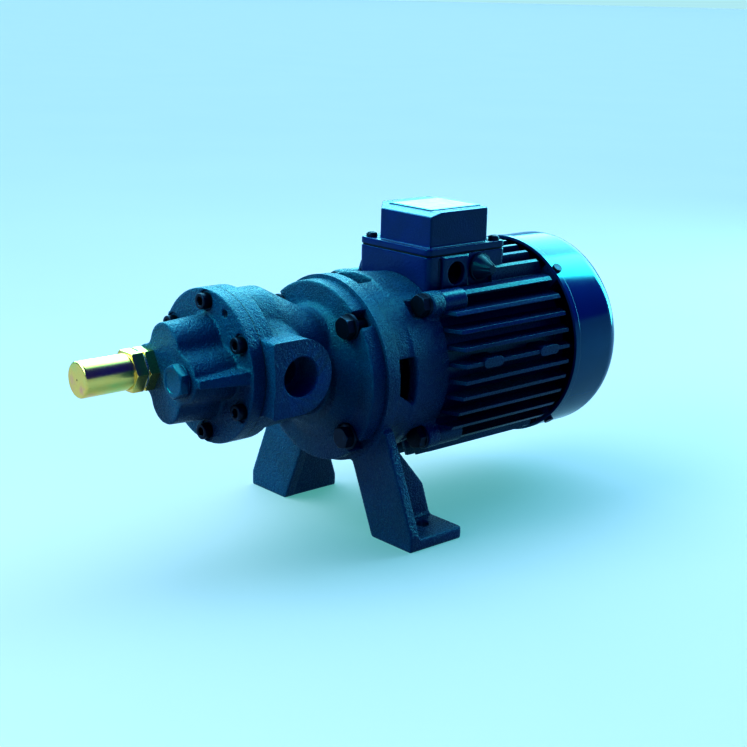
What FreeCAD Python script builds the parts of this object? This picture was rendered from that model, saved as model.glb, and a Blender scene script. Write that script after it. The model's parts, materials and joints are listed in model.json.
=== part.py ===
import FreeCAD, Part
import math
import os

# Gear pump with a built-on relief valve, bolted through a footed bracket to an electric motor.
# Millimetres. X runs along the shaft from the pump to the motor, Y across, Z up.
# The origin is on the floor, midway between the two foot holes.

Vector = FreeCAD.Vector

# Shaft line and feet
shaft_height = 105.0
foot_hole_spacing = 126.0
foot_hole_r = 4.6
foot_hole_to_pump_face = 31.0

# Clearances
running_fit = 0.03
seat_gap = 0.3
tip_gap = 0.3
gear_face_gap = 0.1
screw_hole_play = 0.3
seal_gap = 1.0
overlap = 1.0
edge_reach = 0.01
hex_chamfer_slope = 0.6
bolt_chamfer = 1.1

# Gears
gear_module = 2.5
gear_teeth = 13
gear_width = 43.0
pressure_angle = 25.0
gear_backlash = 0.16
root_clearance = 0.25
flank_points = 5

# Pump shafts, keys and bushes
pump_shaft_r = 8.0
pump_stub_r = 7.0
key_width = 5.0
key_height = 5.0
gear_key_length = 26.0
key_setback = 1.0
bush_wall = 2.0
bush_length = 16.0
shaft_end_gap = 1.0

# Pump body
ring_r = 48.5
ring_depth = 10.5
pump_length = 86.5
port_pad_half_width = 55.4
port_pad_r = 23.5
port_r = 12.3
port_chamfer = 1.0
port_thread_length = 16.0
port_passage_r = 9.0
saddle_outer_y = 36.0
saddle_inner_y = 14.0
saddle_half_height = 38.75
housing_wall = 10.4
housing_taper_offset = 8.0
neck_r = 27.0
neck_rise = 15.5
neck_end_offset = 9.0
hub_flare_r = 45.5
hub_waist_r = 34.0

# Pump flange
pump_flange_r = 59.6
pump_flange_t = 11.0
spigot_r = 40.0
spigot_length = 4.0
flange_bolt_circle_r = 51.2
flange_slot_half_width = 6.0
flange_bolt_r = 4.0
flange_bolt_af = 13.0
flange_bolt_head_h = 5.5
flange_washer_r = 8.5
flange_washer_t = 1.6
flange_bolt_grip = 9.0
flange_spot_gap = 0.6
flange_spot_length = 10.0

# Shaft seal
seal_r = 14.0
seal_length = 7.0
seal_wall = 2.5
seal_setback = 1.0

# Pump cover
cover_t = 9.0
gasket_t = 0.4
boss_height = 30.4
boss_lobe_r = 15.2
side_lobe_r = 14.5
side_lobe_y = 18.4
boss_draft = 1.6
boss_web_r = 8.0
rib_reach_front = 37.0
rib_reach_back = 46.5
rib_below = 1.8
rib_front_height = 5.4
rib_back_height = 8.5
cover_screw_circle_r = 41.2
cover_screw_count = 6
cover_screw_r = 3.0
cover_screw_head_r = 5.0
cover_screw_head_h = 6.0
cover_screw_socket_af = 5.0
cover_screw_socket_depth = 3.2
cover_spot_depth = 1.4
cover_spot_r = 6.6
cover_screw_grip = 8.5
dowel_r = 2.5
dowel_length = 14.0
dowel_angle = 62.0

# Relief valve
valve_bore_r = 6.5
valve_passage_r = 4.0
valve_seat_length = 5.0
poppet_length = 11.0
poppet_cone_length = 4.0
poppet_guide_gap = 0.05
poppet_tip_inset = 1.5
seat_lip = 1.0
spring_wire_r = 0.7
spring_wire_sides = 10
spring_coil_r = 4.6
spring_turns = 4.5
spring_length = 14.0
spring_pocket = 5.0
bonnet_thread_r = 8.5
bonnet_thread_length = 7.0
bonnet_af = 24.4
bonnet_hex_t = 6.6
cap_washer_r = 12.6
cap_washer_t = 1.2
cap_af = 24.2
cap_hex_t = 7.8
cap_r = 11.3
cap_length = 40.8
cap_wall = 2.4
cap_edge_r = 1.6
bonnet_nose_r = 8.0
bonnet_nose_length = 9.0
adjuster_r = 5.0
adjuster_length = 34.0
adjuster_slot_w = 1.4
adjuster_slot_d = 2.0
adjuster_nut_af = 15.0
adjuster_nut_t = 5.0

# Blanking plug beside the valve
plug_head_af = 19.0
plug_head_h = 5.4
plug_face_r = 9.0
plug_turn = 30.0
plug_thread_r = 6.5
plug_thread_length = 10.0
plug_washer_r = 10.3
plug_washer_t = 1.5

# Bracket between pump and motor
bracket_length = 56.2
bracket_face_r = 62.0
bracket_face_t = 10.4
bracket_barrel_proud = 3.4
bracket_band_proud = 1.0
bracket_rear_proud = 1.2
bracket_crease = 24.2
bracket_wall = 7.4
window_start = 10.6
window_length = 14.2
window_half_width = 15.5
window_corner = 8.5
ear_offset = 6.5
ear_r = 8.5
ear_t = 11.0
ear_pocket_r = 8.3
ear_pocket_length = 12.0
leg_setback = 1.9
leg_t = 8.0
leg_top_inner_y = 24.0
leg_top_outer_y = 57.0
leg_top_drop = 31.0
leg_inner_z = 43.0
leg_inner_bend_y = 3.0
leg_inner_bend_z = 6.0
foot_inner_y = 46.0
foot_outer_y = 84.2
foot_length = 46.8
foot_t = 7.7
foot_corner_r = 4.0
leg_edge_rise = 10.0
leg_web_t = 6.5
leg_web_top_drop = 37.5
leg_web_knee_setback = 7.4
leg_web_knee_z = 30.5
leg_web_knee_r = 12.0

# Motor bolts in the ears
motor_bolt_r = 4.0
motor_bolt_af = 13.0
motor_bolt_head_h = 5.3
motor_washer_r = 7.5
motor_washer_t = 1.5
motor_bolt_grip = 14.0

# Coupling
coupling_r = 21.0
hub_length = 18.0
jaw_length = 9.0
jaw_count = 3
jaw_angle = 50.0
jaw_offset = 1.0
spider_gap = 0.6
spider_bore_r = 8.0
spider_ring_r = 11.0
coupling_key_length = 14.0
pump_stub_shortfall = 1.5

# Motor shaft and bearings
motor_stub_r = 7.0
motor_stub_length = 28.0
bearing_seat_r = 7.5
motor_body_r = 9.5
motor_tail_length = 3.0
clip_groove_depth = 0.5
bearing_outer_r = 17.5
bearing_width = 11.0
race_t = 3.1
ball_r = 2.9
ball_count = 7

# Motor housing
housing_length = 104.0
barrel_r = 57.0
barrel_wall = 5.0
fin_height = 13.4
fin_t = 2.6
side_fin_inset = 7.05
fin_count_side = 10
fin_root_height = 4.0
fin_slant = 5.6
fin_front_slant = 4.0
fin_overhang = 1.2
fin_embed = 1.0
top_fin_inset = 21.3
top_fin_count = 8
rail_inset = 17.5
rail_width = 10.0
rail_height = 13.0
rail_below = 2.5
rail_setback = 1.0
rail_bevel_length = 9.0
rail_bevel_height = 5.0
bolt_lug_r = 8.0
bolt_lug_length = 20.0
pad_length = 18.5
pad_height = 6.6
pad_proud = 0.5
first_pad_offset = 20.0
second_pad_offset = 74.8

# Motor end shields
front_shield_t = 9.0
shield_spigot_length = 3.0
bearing_cover_t = 2.0
bearing_hub_wall = 5.0
shield_dish_depth = 3.0
shield_dish_gap = 4.0
rear_shield_t = 8.0
rear_shield_proud = 1.0
cowl_lug_length = 6.0
cowl_lug_half_width = 7.0
cowl_lug_depth = 8.0
shield_screw_inset = 8.0
shield_screw_r = 2.5
shield_screw_head_r = 4.2
shield_screw_head_h = 4.0
shield_screw_grip = 7.0
shield_lug_r = 8.5
shield_lug_length = 8.4
wave_washer_t = 0.9
wave_washer_width = 3.5
wave_washer_gap = 0.5

# Stator and rotor
core_offset = 2.0
winding_end_room = 11.0
stator_bore_r = 30.0
air_gap = 0.4
winding_length = 13.0
winding_gap = 4.0
winding_inset = 3.0
end_ring_t = 6.0
end_ring_inner_r = 17.0

# Fan and cowl
fan_room = 11.3
fan_hub_r = 13.0
fan_hub_length = 16.0
fan_disc_t = 2.5
fan_blade_count = 8
fan_blade_t = 2.4
fan_blade_width = 14.0
fan_start_gap = 7.0
fan_clip_r = 10.5
fan_clip_t = 1.2
fan_clip_opening = 4.0
cowl_over_barrel = 14.3
cowl_wall = 1.5
cowl_overlap = 1.2
cowl_bead_proud = 0.6
cowl_bead_length = 4.6
cowl_length = 52.0
cowl_dome_r = 16.0
cowl_grille_rings = 3
cowl_grille_sectors = 8
cowl_grille_slot = 5.0
cowl_grille_web = 4.0
cowl_grille_first_r = 16.0
cowl_screw_r = 2.0
cowl_screw_head_r = 3.4
cowl_screw_head_h = 1.8
cowl_screw_length = 5.0
cowl_screw_offset = 3.6
cowl_screw_angle = 50.0

# Terminal box
box_length = 73.3
box_half_width = 34.5
box_base_height = 15.6
box_wall = 3.0
box_corner_r = 4.0
box_floor_t = 2.0
box_gasket_t = 0.6
box_gasket_inset = 0.6
box_groove_width = 2.4
box_groove_depth = 1.8
wire_hole_r = 8.0
wire_hole_offset = 22.0
lid_flange_t = 4.6
lid_height = 44.0
lid_inset = 4.6
lid_far_inset = 3.0
lid_corner_cut = 13.0
lid_bevel_length = 10.5
lid_bevel_drop = 2.4
lid_tower_step = 3.4
lid_wall = 2.5
lid_ceiling = 4.5
lid_screw_inset = 6.0
lid_screw_r = 2.0
lid_screw_head_r = 3.8
lid_screw_head_h = 3.0
lid_screw_dome = 1.8
lid_screw_slot_w = 1.0
lid_screw_slot_d = 1.0
lid_screw_length = 14.0
entry_x = 25.2
entry_height = 3.2
entry_r = 7.6
entry_pad_proud = 1.6
entry_pad_start = 12.5
entry_pad_length = 24.0
entry_pad_below = 2.2
entry_pad_top_gap = 1.5
entry_clearance = 0.6
cone_x = 47.8
cone_axis_height = 5.0
cone_base_r = 9.5
cone_tip_r = 3.4
cone_height = 11.0
cone_shank_r = 6.0
cone_flange_t = 2.0
cone_step = 0.8
cone_flute_count = 8
cone_flute_r = 1.3
cone_flute_out = 0.2
board_offset = 36.0
board_length = 31.0
board_width = 34.0
board_t = 4.0
board_seat_rise = 0.5
stud_r = 2.0
stud_height = 12.0
stud_nut_af = 7.0
stud_nut_t = 3.0
stud_spacing_x = 14.0
stud_spacing_y = 10.7
label_length = 46.0
label_width = 42.0
label_t = 0.4

# Places worked out from the sizes
pitch_r = gear_module * gear_teeth / 2.0
gear_tip_r = pitch_r + gear_module
gear_root_r = pitch_r - gear_module * (1.0 + root_clearance)
drive_z = shaft_height
driven_z = shaft_height + 2.0 * pitch_r
pump_z = (drive_z + driven_z) / 2.0
chamber_r = gear_tip_r + tip_gap
pump_face_x = -foot_hole_to_pump_face
parting_x = pump_face_x - pump_length
cover_back_x = parting_x - gasket_t
cover_face_x = cover_back_x - cover_t
boss_face_x = cover_face_x - boss_height
gear_front_x = cover_back_x + gear_face_gap
gear_rear_x = gear_front_x + gear_width
chamber_end_x = gear_rear_x + gear_face_gap
port_x = (gear_front_x + gear_rear_x) / 2.0
flange_front_x = pump_face_x - pump_flange_t
bush_r = pump_shaft_r + running_fit + bush_wall
neck_end_x = flange_front_x - neck_end_offset
housing_r = chamber_r + housing_wall
bracket_rear_x = pump_face_x + bracket_length
bracket_barrel_r = barrel_r + bracket_barrel_proud
bracket_band_r = bracket_barrel_r + bracket_band_proud
bracket_rear_r = barrel_r + bracket_rear_proud
ear_circle_r = barrel_r + ear_offset
bracket_bore_r = bracket_barrel_r - bracket_wall
motor_face_x = bracket_rear_x
barrel_bore_r = barrel_r - barrel_wall
fin_tip_r = barrel_r + fin_height
fin_root_r = barrel_r + fin_root_height
fin_pitch = 2.0 * (barrel_r - side_fin_inset) / (fin_count_side - 1)
top_fin_pitch = 2.0 * (barrel_r - top_fin_inset) / (top_fin_count - 1)
rail_outer_y = barrel_r - rail_inset
rear_shield_rim_r = barrel_r + rear_shield_proud
shield_screw_circle_r = barrel_bore_r - shield_screw_inset
winding_r = barrel_bore_r - winding_gap
cowl_r = barrel_r + cowl_over_barrel
fan_r = cowl_r - fan_room
valve_face_x = boss_face_x
valve_bottom_x = cover_back_x - valve_seat_length - valve_passage_r
bonnet_face_x = boss_face_x - bonnet_hex_t
cap_start_x = bonnet_face_x - cap_washer_t
cap_end_x = cap_start_x - cap_length
seat_front_x = valve_bottom_x - valve_seat_length
poppet_tip_x = seat_front_x + poppet_cone_length / 2.0
poppet_back_x = poppet_tip_x - poppet_length
spring_seat_x = poppet_back_x + spring_pocket
adjuster_start_x = spring_seat_x - spring_length
adjuster_end_x = adjuster_start_x - adjuster_length
front_bearing_x = motor_face_x + bearing_cover_t
housing_end_x = motor_face_x + housing_length
rear_bearing_x = housing_end_x + rear_shield_t - bearing_cover_t - bearing_width - wave_washer_t
core_length = housing_length - 2.0 * (winding_length + winding_end_room)
core_mid_x = motor_face_x + housing_length / 2.0 + core_offset
core_start_x = core_mid_x - core_length / 2.0
core_end_x = core_mid_x + core_length / 2.0
rotor_r = stator_bore_r - air_gap
cowl_start_x = housing_end_x + rear_shield_t - cowl_overlap
cowl_end_x = cowl_start_x + cowl_length
fan_start_x = housing_end_x + rear_shield_t + fan_start_gap
fan_end_x = fan_start_x + fan_hub_length
motor_tail_x = fan_end_x + fan_clip_t + motor_tail_length
motor_stub_end_x = motor_face_x - motor_stub_length
jaw_mid_x = (pump_face_x + motor_face_x) / 2.0 - jaw_offset
jaw_front_x = jaw_mid_x - jaw_length / 2.0
jaw_rear_x = jaw_mid_x + jaw_length / 2.0
pump_stub_end_x = jaw_front_x - pump_stub_shortfall
box_start_x = motor_face_x + seat_gap
box_end_x = box_start_x + box_length
box_base_top = shaft_height + barrel_r + box_base_height
lid_bottom_z = box_base_top + box_gasket_t
lid_top = shaft_height + barrel_r + lid_height
entry_z = shaft_height + barrel_r + entry_height
entry_pad_low = entry_z - entry_r - entry_pad_below
cone_z = shaft_height + barrel_r + cone_axis_height
board_seat_z = shaft_height + barrel_r + box_floor_t + board_seat_rise
leg_top_z = shaft_height - leg_top_drop
shield_end_x = motor_face_x + front_shield_t
lid_flange_top = lid_bottom_z + lid_flange_t


# Basic solids

def x_cylinder(radius, x0, x1, y=0.0, z=shaft_height):
    return Part.makeCylinder(radius, x1 - x0, Vector(x0, y, z), Vector(1, 0, 0))


def x_cone(radius0, radius1, x0, x1, y=0.0, z=shaft_height):
    return Part.makeCone(radius0, radius1, x1 - x0, Vector(x0, y, z), Vector(1, 0, 0))


def x_tube(outer_r, inner_r, x0, x1, y=0.0, z=shaft_height):
    return x_cylinder(outer_r, x0, x1, y, z).cut(x_cylinder(inner_r, x0, x1, y, z))


def y_cylinder(radius, y0, y1, x, z):
    return Part.makeCylinder(radius, y1 - y0, Vector(x, y0, z), Vector(0, 1, 0))


def z_cylinder(radius, z0, z1, x, y):
    return Part.makeCylinder(radius, z1 - z0, Vector(x, y, z0), Vector(0, 0, 1))


def block(x0, x1, y0, y1, z0, z1):
    return Part.makeBox(x1 - x0, y1 - y0, z1 - z0, Vector(x0, y0, z0))


def prism(points, direction):
    wire = Part.makePolygon(points + [points[0]])
    return Part.Face(wire).extrude(direction)


def x_hexagon(across_flats, x0, x1, y=0.0, z=shaft_height, turn=0.0):
    corner_r = across_flats / math.sqrt(3.0)
    corners = []
    for i in range(6):
        angle = math.radians(60.0 * i + turn)
        corners.append(Vector(x0, y + corner_r * math.cos(angle), z + corner_r * math.sin(angle)))
    return prism(corners, Vector(x1 - x0, 0, 0))


def chamfered_x_hexagon(across_flats, x0, x1, face_x, face_r, y=0.0, z=shaft_height, turn=0.0):
    """A hexagon whose corners are turned off at face_x, down to face_r."""
    corner_r = across_flats / math.sqrt(3.0)
    hexagon = x_hexagon(across_flats, x0, x1, y, z, turn)
    depth = (corner_r - face_r) * hex_chamfer_slope
    if face_x <= min(x0, x1):
        turned = x_cone(face_r, corner_r, x0, x0 + depth, y, z).fuse(x_cylinder(corner_r, x0 + depth, x1, y, z))
    else:
        turned = x_cone(corner_r, face_r, x1 - depth, x1, y, z).fuse(x_cylinder(corner_r, x0, x1 - depth, y, z))
    return hexagon.common(turned)


def x_circle_points(radius, count, first_angle, y=0.0, z=shaft_height):
    """Places round an X axis, as (y, z, angle), counted from +Y towards +Z."""
    places = []
    for i in range(count):
        angle = first_angle + 360.0 * i / count
        radians = math.radians(angle)
        places.append((y + radius * math.cos(radians), z + radius * math.sin(radians), angle))
    return places


def turned_about_shaft(shape, angle, z=shaft_height):
    copy = shape.copy()
    copy.rotate(Vector(0, 0, z), Vector(1, 0, 0), angle)
    return copy


def mirrored_across(shape):
    return shape.mirror(Vector(0, 0, 0), Vector(0, 1, 0))


def fused(shapes):
    return shapes[0].multiFuse(shapes[1:]).removeSplitter()


def cut_all(shape, tools):
    return shape.cut(Part.makeCompound(tools))


def export(shape, name):
    shape.exportStep("parts/" + name + ".step")


# Outlines

def stadium_wire(x, radius, low_z, high_z):
    """Two half circles joined by upright lines, in the plane across the shaft at x."""
    right_low = Vector(x, radius, low_z)
    right_high = Vector(x, radius, high_z)
    left_high = Vector(x, -radius, high_z)
    left_low = Vector(x, -radius, low_z)
    edges = [
        Part.LineSegment(right_low, right_high).toShape(),
        Part.Arc(right_high, Vector(x, 0, high_z + radius), left_high).toShape(),
        Part.LineSegment(left_high, left_low).toShape(),
        Part.Arc(left_low, Vector(x, 0, low_z - radius), right_low).toShape(),
    ]
    return Part.Wire(edges)


def port_profile(y, half_height, axis_x):
    """A D outline in the plane at y: flat at the parting face, round at the back."""
    top_front = Vector(parting_x, y, pump_z + half_height)
    top_back = Vector(axis_x, y, pump_z + half_height)
    rear = Vector(axis_x + half_height, y, pump_z)
    low_back = Vector(axis_x, y, pump_z - half_height)
    low_front = Vector(parting_x, y, pump_z - half_height)
    edges = [
        Part.LineSegment(low_front, top_front).toShape(),
        Part.LineSegment(top_front, top_back).toShape(),
        Part.Arc(top_back, rear, low_back).toShape(),
        Part.LineSegment(low_back, low_front).toShape(),
    ]
    return Part.Wire(edges)


def lobed_wire(x, lobes, web_r):
    """Round lobes (y, z, r), listed anticlockwise, joined by concave arcs of web_r."""
    count = len(lobes)
    touches = []
    for i in range(count):
        y0, z0, r0 = lobes[i]
        y1, z1, r1 = lobes[(i + 1) % count]
        distance = math.hypot(y1 - y0, z1 - z0)
        reach0 = r0 + web_r
        reach1 = r1 + web_r
        along = (reach0 ** 2 - reach1 ** 2 + distance ** 2) / (2.0 * distance)
        out = math.sqrt(reach0 ** 2 - along ** 2)
        uy = (y1 - y0) / distance
        uz = (z1 - z0) / distance
        web_y = y0 + along * uy + out * uz
        web_z = z0 + along * uz - out * uy
        start = Vector(x, y0 + (web_y - y0) * r0 / reach0, z0 + (web_z - z0) * r0 / reach0)
        end = Vector(x, y1 + (web_y - y1) * r1 / reach1, z1 + (web_z - z1) * r1 / reach1)
        chord_y = (start.y + end.y) / 2.0 - web_y
        chord_z = (start.z + end.z) / 2.0 - web_z
        length = math.hypot(chord_y, chord_z)
        middle = Vector(x, web_y + chord_y * web_r / length, web_z + chord_z * web_r / length)
        touches.append((start, middle, end))
    edges = []
    for i in range(count):
        start, middle, end = touches[i]
        edges.append(Part.Arc(start, middle, end).toShape())
        next_start = touches[(i + 1) % count][0]
        y1, z1, r1 = lobes[(i + 1) % count]
        out_y = y1
        out_z = z1 - pump_z
        length = math.hypot(out_y, out_z)
        crown = Vector(x, y1 + r1 * out_y / length, z1 + r1 * out_z / length)
        edges.append(Part.Arc(end, crown, next_start).toShape())
    return Part.Wire(edges)


# Gears

def gear_tooth_angles(radius, base_r):
    """Half the angle that a tooth takes up at a radius."""
    alpha = math.radians(pressure_angle)
    pitch_half = math.pi / (2.0 * gear_teeth) - gear_backlash / (2.0 * pitch_r)
    at_radius = math.acos(min(1.0, base_r / radius))
    return pitch_half + (math.tan(alpha) - alpha) - (math.tan(at_radius) - at_radius)


def gear_solid(x0, x1, z):
    """An involute gear round an X axis, with a tooth pointing straight up."""
    base_r = pitch_r * math.cos(math.radians(pressure_angle))

    def at(radius, angle):
        return Vector(x0, radius * math.sin(angle), z + radius * math.cos(angle))

    radii = []
    for i in range(flank_points):
        share = i / (flank_points - 1.0)
        radii.append(base_r + (gear_tip_r - base_r) * share ** 2)
    root_half = gear_tooth_angles(base_r, base_r)
    step = 2.0 * math.pi / gear_teeth
    edges = []
    for tooth in range(gear_teeth):
        middle = tooth * step
        rising = [at(r, middle - gear_tooth_angles(r, base_r)) for r in radii]
        falling = [at(r, middle + gear_tooth_angles(r, base_r)) for r in reversed(radii)]
        root_before = at(gear_root_r, middle - root_half)
        root_after = at(gear_root_r, middle + root_half)
        next_root = at(gear_root_r, middle + step - root_half)
        up = Part.BSplineCurve()
        up.interpolate(rising)
        down = Part.BSplineCurve()
        down.interpolate(falling)
        edges.append(Part.LineSegment(root_before, rising[0]).toShape())
        edges.append(up.toShape())
        edges.append(Part.Arc(rising[-1], at(gear_tip_r, middle), falling[0]).toShape())
        edges.append(down.toShape())
        edges.append(Part.LineSegment(falling[-1], root_after).toShape())
        edges.append(Part.Arc(root_after, at(gear_root_r, middle + step / 2.0), next_root).toShape())
    face = Part.Face(Part.Wire(edges))
    return face.extrude(Vector(x1 - x0, 0, 0))


def key_block(x0, x1, shaft_r, z):
    """A parallel key, sunk half into the top of a shaft."""
    return block(x0, x1, -key_width / 2.0, key_width / 2.0, z + shaft_r - key_height / 2.0, z + shaft_r + key_height / 2.0)


gear_key_start = port_x - gear_key_length / 2.0
gear_key_end = port_x + gear_key_length / 2.0
pump_hub_start = jaw_front_x - hub_length
motor_hub_end = jaw_rear_x + hub_length
pump_key_start = pump_hub_start + key_setback
pump_key_end = pump_key_start + coupling_key_length
motor_key_end = motor_hub_end - key_setback
motor_key_start = motor_key_end - coupling_key_length


def make_drive_gear():
    gear = gear_solid(gear_front_x, gear_rear_x, drive_z)
    bore = x_cylinder(pump_shaft_r, gear_front_x, gear_rear_x, 0.0, drive_z)
    key_seat = key_block(gear_key_start, gear_key_end, pump_shaft_r, drive_z)
    return cut_all(gear, [bore, key_seat])


def make_driven_gear():
    gear = gear_solid(gear_front_x, gear_rear_x, driven_z)
    return gear.cut(x_cylinder(pump_shaft_r, gear_front_x, gear_rear_x, 0.0, driven_z))


shaft_front_x = cover_back_x - bush_length + shaft_end_gap
driven_end_x = chamber_end_x + bush_length - shaft_end_gap


def make_drive_shaft():
    shaft = x_cylinder(pump_shaft_r, shaft_front_x, pump_face_x)
    stub = x_cylinder(pump_stub_r, pump_face_x, pump_stub_end_x)
    keys = [
        key_block(gear_key_start, gear_key_end, pump_shaft_r, drive_z),
        key_block(pump_key_start, pump_key_end, pump_stub_r, drive_z),
    ]
    return cut_all(shaft.fuse(stub), keys)


def make_driven_shaft():
    return x_cylinder(pump_shaft_r, shaft_front_x, driven_end_x, 0.0, driven_z)


def make_drive_keys():
    return Part.makeCompound([
        key_block(gear_key_start, gear_key_end, pump_shaft_r, drive_z),
        key_block(pump_key_start, pump_key_end, pump_stub_r, drive_z),
        key_block(motor_key_start, motor_key_end, motor_stub_r, drive_z),
    ])


def make_bushes(x0):
    inner_r = pump_shaft_r + running_fit
    return Part.makeCompound([
        x_tube(bush_r, inner_r, x0, x0 + bush_length, 0.0, drive_z),
        x_tube(bush_r, inner_r, x0, x0 + bush_length, 0.0, driven_z),
    ])


# Pump body

def body_casing():
    ring = x_cylinder(ring_r, parting_x, parting_x + ring_depth, 0.0, pump_z)
    taper_x = port_x + housing_taper_offset
    front = stadium_wire(parting_x, housing_r, drive_z, driven_z)
    column = Part.Face(front).extrude(Vector(taper_x - parting_x, 0, 0))
    taper_front = stadium_wire(taper_x, housing_r, drive_z, driven_z)
    taper_back = stadium_wire(neck_end_x, neck_r, drive_z, drive_z + neck_rise)
    taper = Part.makeLoft([taper_front, taper_back], True, True)
    neck = Part.Face(taper_back).extrude(Vector(flange_front_x - neck_end_x, 0, 0))
    flare = x_cone(hub_waist_r, hub_flare_r, neck_end_x, flange_front_x)
    return fused([ring, column, taper, neck, flare] + port_pads())


def port_pads():
    """The two D shaped port pads and the saddles that blend them into the gear housing."""
    saddle_axis_x = parting_x + (port_x - parting_x) / 2.0
    outer = port_profile(-port_pad_half_width, port_pad_r, port_x)
    pad = Part.Face(outer).extrude(Vector(0, port_pad_half_width - saddle_outer_y, 0))
    low = port_profile(-saddle_outer_y, port_pad_r, port_x)
    high = port_profile(-saddle_inner_y, saddle_half_height, saddle_axis_x)
    saddle = Part.makeLoft([low, high], True, True)
    middle = Part.Face(high).extrude(Vector(0, 2.0 * saddle_inner_y, 0))
    return [pad, saddle, middle, mirrored_across(saddle), mirrored_across(pad)]


def flange_spots():
    """Spot faces for the flange washers, where the casing flares out towards the flange."""
    spot_r = flange_washer_r + flange_spot_gap
    x0 = flange_front_x - flange_spot_length
    return [x_cylinder(spot_r, x0, flange_front_x, y, z) for y, z, angle in flange_bolt_places()]


def pump_flange():
    disc = x_cylinder(pump_flange_r, flange_front_x, pump_face_x)
    spigot = x_cylinder(spigot_r - seat_gap, pump_face_x, pump_face_x + spigot_length)
    slots = []
    for i in range(4):
        reach = pump_flange_r + flange_slot_half_width
        slot = block(flange_front_x, pump_face_x, flange_bolt_circle_r, reach,
                     shaft_height - flange_slot_half_width, shaft_height + flange_slot_half_width)
        slot = slot.fuse(x_cylinder(flange_slot_half_width, flange_front_x, pump_face_x, flange_bolt_circle_r))
        slots.append(turned_about_shaft(slot, 45.0 + 90.0 * i))
    return disc.fuse(spigot), slots


def make_pump_body():
    flange, slots = pump_flange()
    spigot_end_x = pump_face_x + spigot_length
    seal_start_x = pump_face_x - seal_setback - seal_length
    cavity = [
        x_cylinder(chamber_r, parting_x, chamber_end_x, 0.0, drive_z),
        x_cylinder(chamber_r, parting_x, chamber_end_x, 0.0, driven_z),
        x_cylinder(bush_r, chamber_end_x, chamber_end_x + bush_length, 0.0, drive_z),
        x_cylinder(bush_r, chamber_end_x, chamber_end_x + bush_length, 0.0, driven_z),
        x_cylinder(pump_shaft_r + seat_gap, chamber_end_x, spigot_end_x),
        x_cylinder(seal_r, seal_start_x, spigot_end_x),
        y_cylinder(port_passage_r, -port_pad_half_width, port_pad_half_width, port_x, pump_z),
    ]
    thread_end_y = port_pad_half_width - port_chamfer - port_thread_length
    for side in (-1.0, 1.0):
        y0 = min(side * thread_end_y, side * port_pad_half_width)
        cavity.append(y_cylinder(port_r, y0, y0 + port_pad_half_width - thread_end_y, port_x, pump_z))
        mouth = Part.makeCone(port_r, port_r + port_chamfer, port_chamfer,
                              Vector(port_x, side * (port_pad_half_width - port_chamfer), pump_z), Vector(0, side, 0))
        cavity.append(mouth)
    for y, z, angle in cover_screw_places():
        cavity.append(x_cylinder(cover_screw_r, parting_x, parting_x + cover_screw_grip, y, z))
    for y, z, angle in dowel_places():
        cavity.append(x_cylinder(dowel_r, parting_x, parting_x + dowel_length / 2.0, y, z))
    casing = fused([body_casing(), flange])
    return cut_all(casing, cavity + slots + flange_spots())


def cover_screw_places():
    return x_circle_points(cover_screw_circle_r, cover_screw_count, 90.0, 0.0, pump_z)


def dowel_places():
    return x_circle_points(cover_screw_circle_r, 2, 180.0 - dowel_angle, 0.0, pump_z)


def make_shaft_seal():
    x0 = pump_face_x - seal_setback - seal_length
    x1 = x0 + seal_length
    shell = x_tube(seal_r, seal_r - seal_wall, x0, x1)
    plate = x_tube(seal_r, pump_shaft_r + seat_gap, x0, x0 + seal_wall)
    return fused([shell, plate])


# Pump cover

def boss_lobes(grow):
    return [
        (side_lobe_y, pump_z, side_lobe_r + grow),
        (0.0, driven_z, boss_lobe_r + grow),
        (-side_lobe_y, pump_z, side_lobe_r + grow),
        (0.0, drive_z, boss_lobe_r + grow),
    ]


def cover_rib():
    """The level rib that carries a side lobe out to the rim of the cover, higher at its root."""
    z0 = pump_z - rib_below

    def section(x, reach, height):
        corners = [
            Vector(x, -side_lobe_y, z0),
            Vector(x, -reach, z0),
            Vector(x, -reach, z0 + height),
            Vector(x, -side_lobe_y, z0 + height),
        ]
        return Part.makePolygon(corners + [corners[0]])

    front = section(boss_face_x, rib_reach_front, rib_front_height)
    back = section(cover_face_x, rib_reach_back, rib_back_height)
    return Part.makeLoft([front, back], True, True)


def make_pump_cover():
    disc = x_cylinder(ring_r, cover_face_x, cover_back_x, 0.0, pump_z)
    front = lobed_wire(boss_face_x, boss_lobes(0.0), boss_web_r)
    back = lobed_wire(cover_face_x, boss_lobes(boss_draft), boss_web_r)
    boss = Part.makeLoft([front, back], True, True)
    rib = cover_rib()
    body = fused([disc, boss, rib, mirrored_across(rib)])
    bush_end_x = cover_back_x - bush_length
    cavity = [
        x_cylinder(bush_r, bush_end_x, cover_back_x, 0.0, drive_z),
        x_cylinder(bush_r, bush_end_x, cover_back_x, 0.0, driven_z),
        x_cylinder(valve_bore_r, valve_face_x, valve_bottom_x, side_lobe_y, pump_z),
        x_cylinder(bonnet_thread_r, valve_face_x, valve_face_x + bonnet_thread_length, side_lobe_y, pump_z),
        x_cylinder(valve_passage_r, valve_bottom_x, cover_back_x, side_lobe_y, pump_z),
        x_cylinder(plug_thread_r, boss_face_x, boss_face_x + plug_thread_length, -side_lobe_y, pump_z),
    ]
    for y, z, angle in cover_screw_places():
        cavity.append(x_cylinder(cover_screw_r + screw_hole_play, cover_face_x, cover_back_x, y, z))
        spot = x_cylinder(cover_spot_r, cover_face_x - cover_screw_head_h, cover_face_x + cover_spot_depth, y, z)
        cavity.append(spot)
    for y, z, angle in dowel_places():
        cavity.append(x_cylinder(dowel_r, cover_face_x, cover_back_x, y, z))
    return cut_all(body, cavity)


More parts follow.
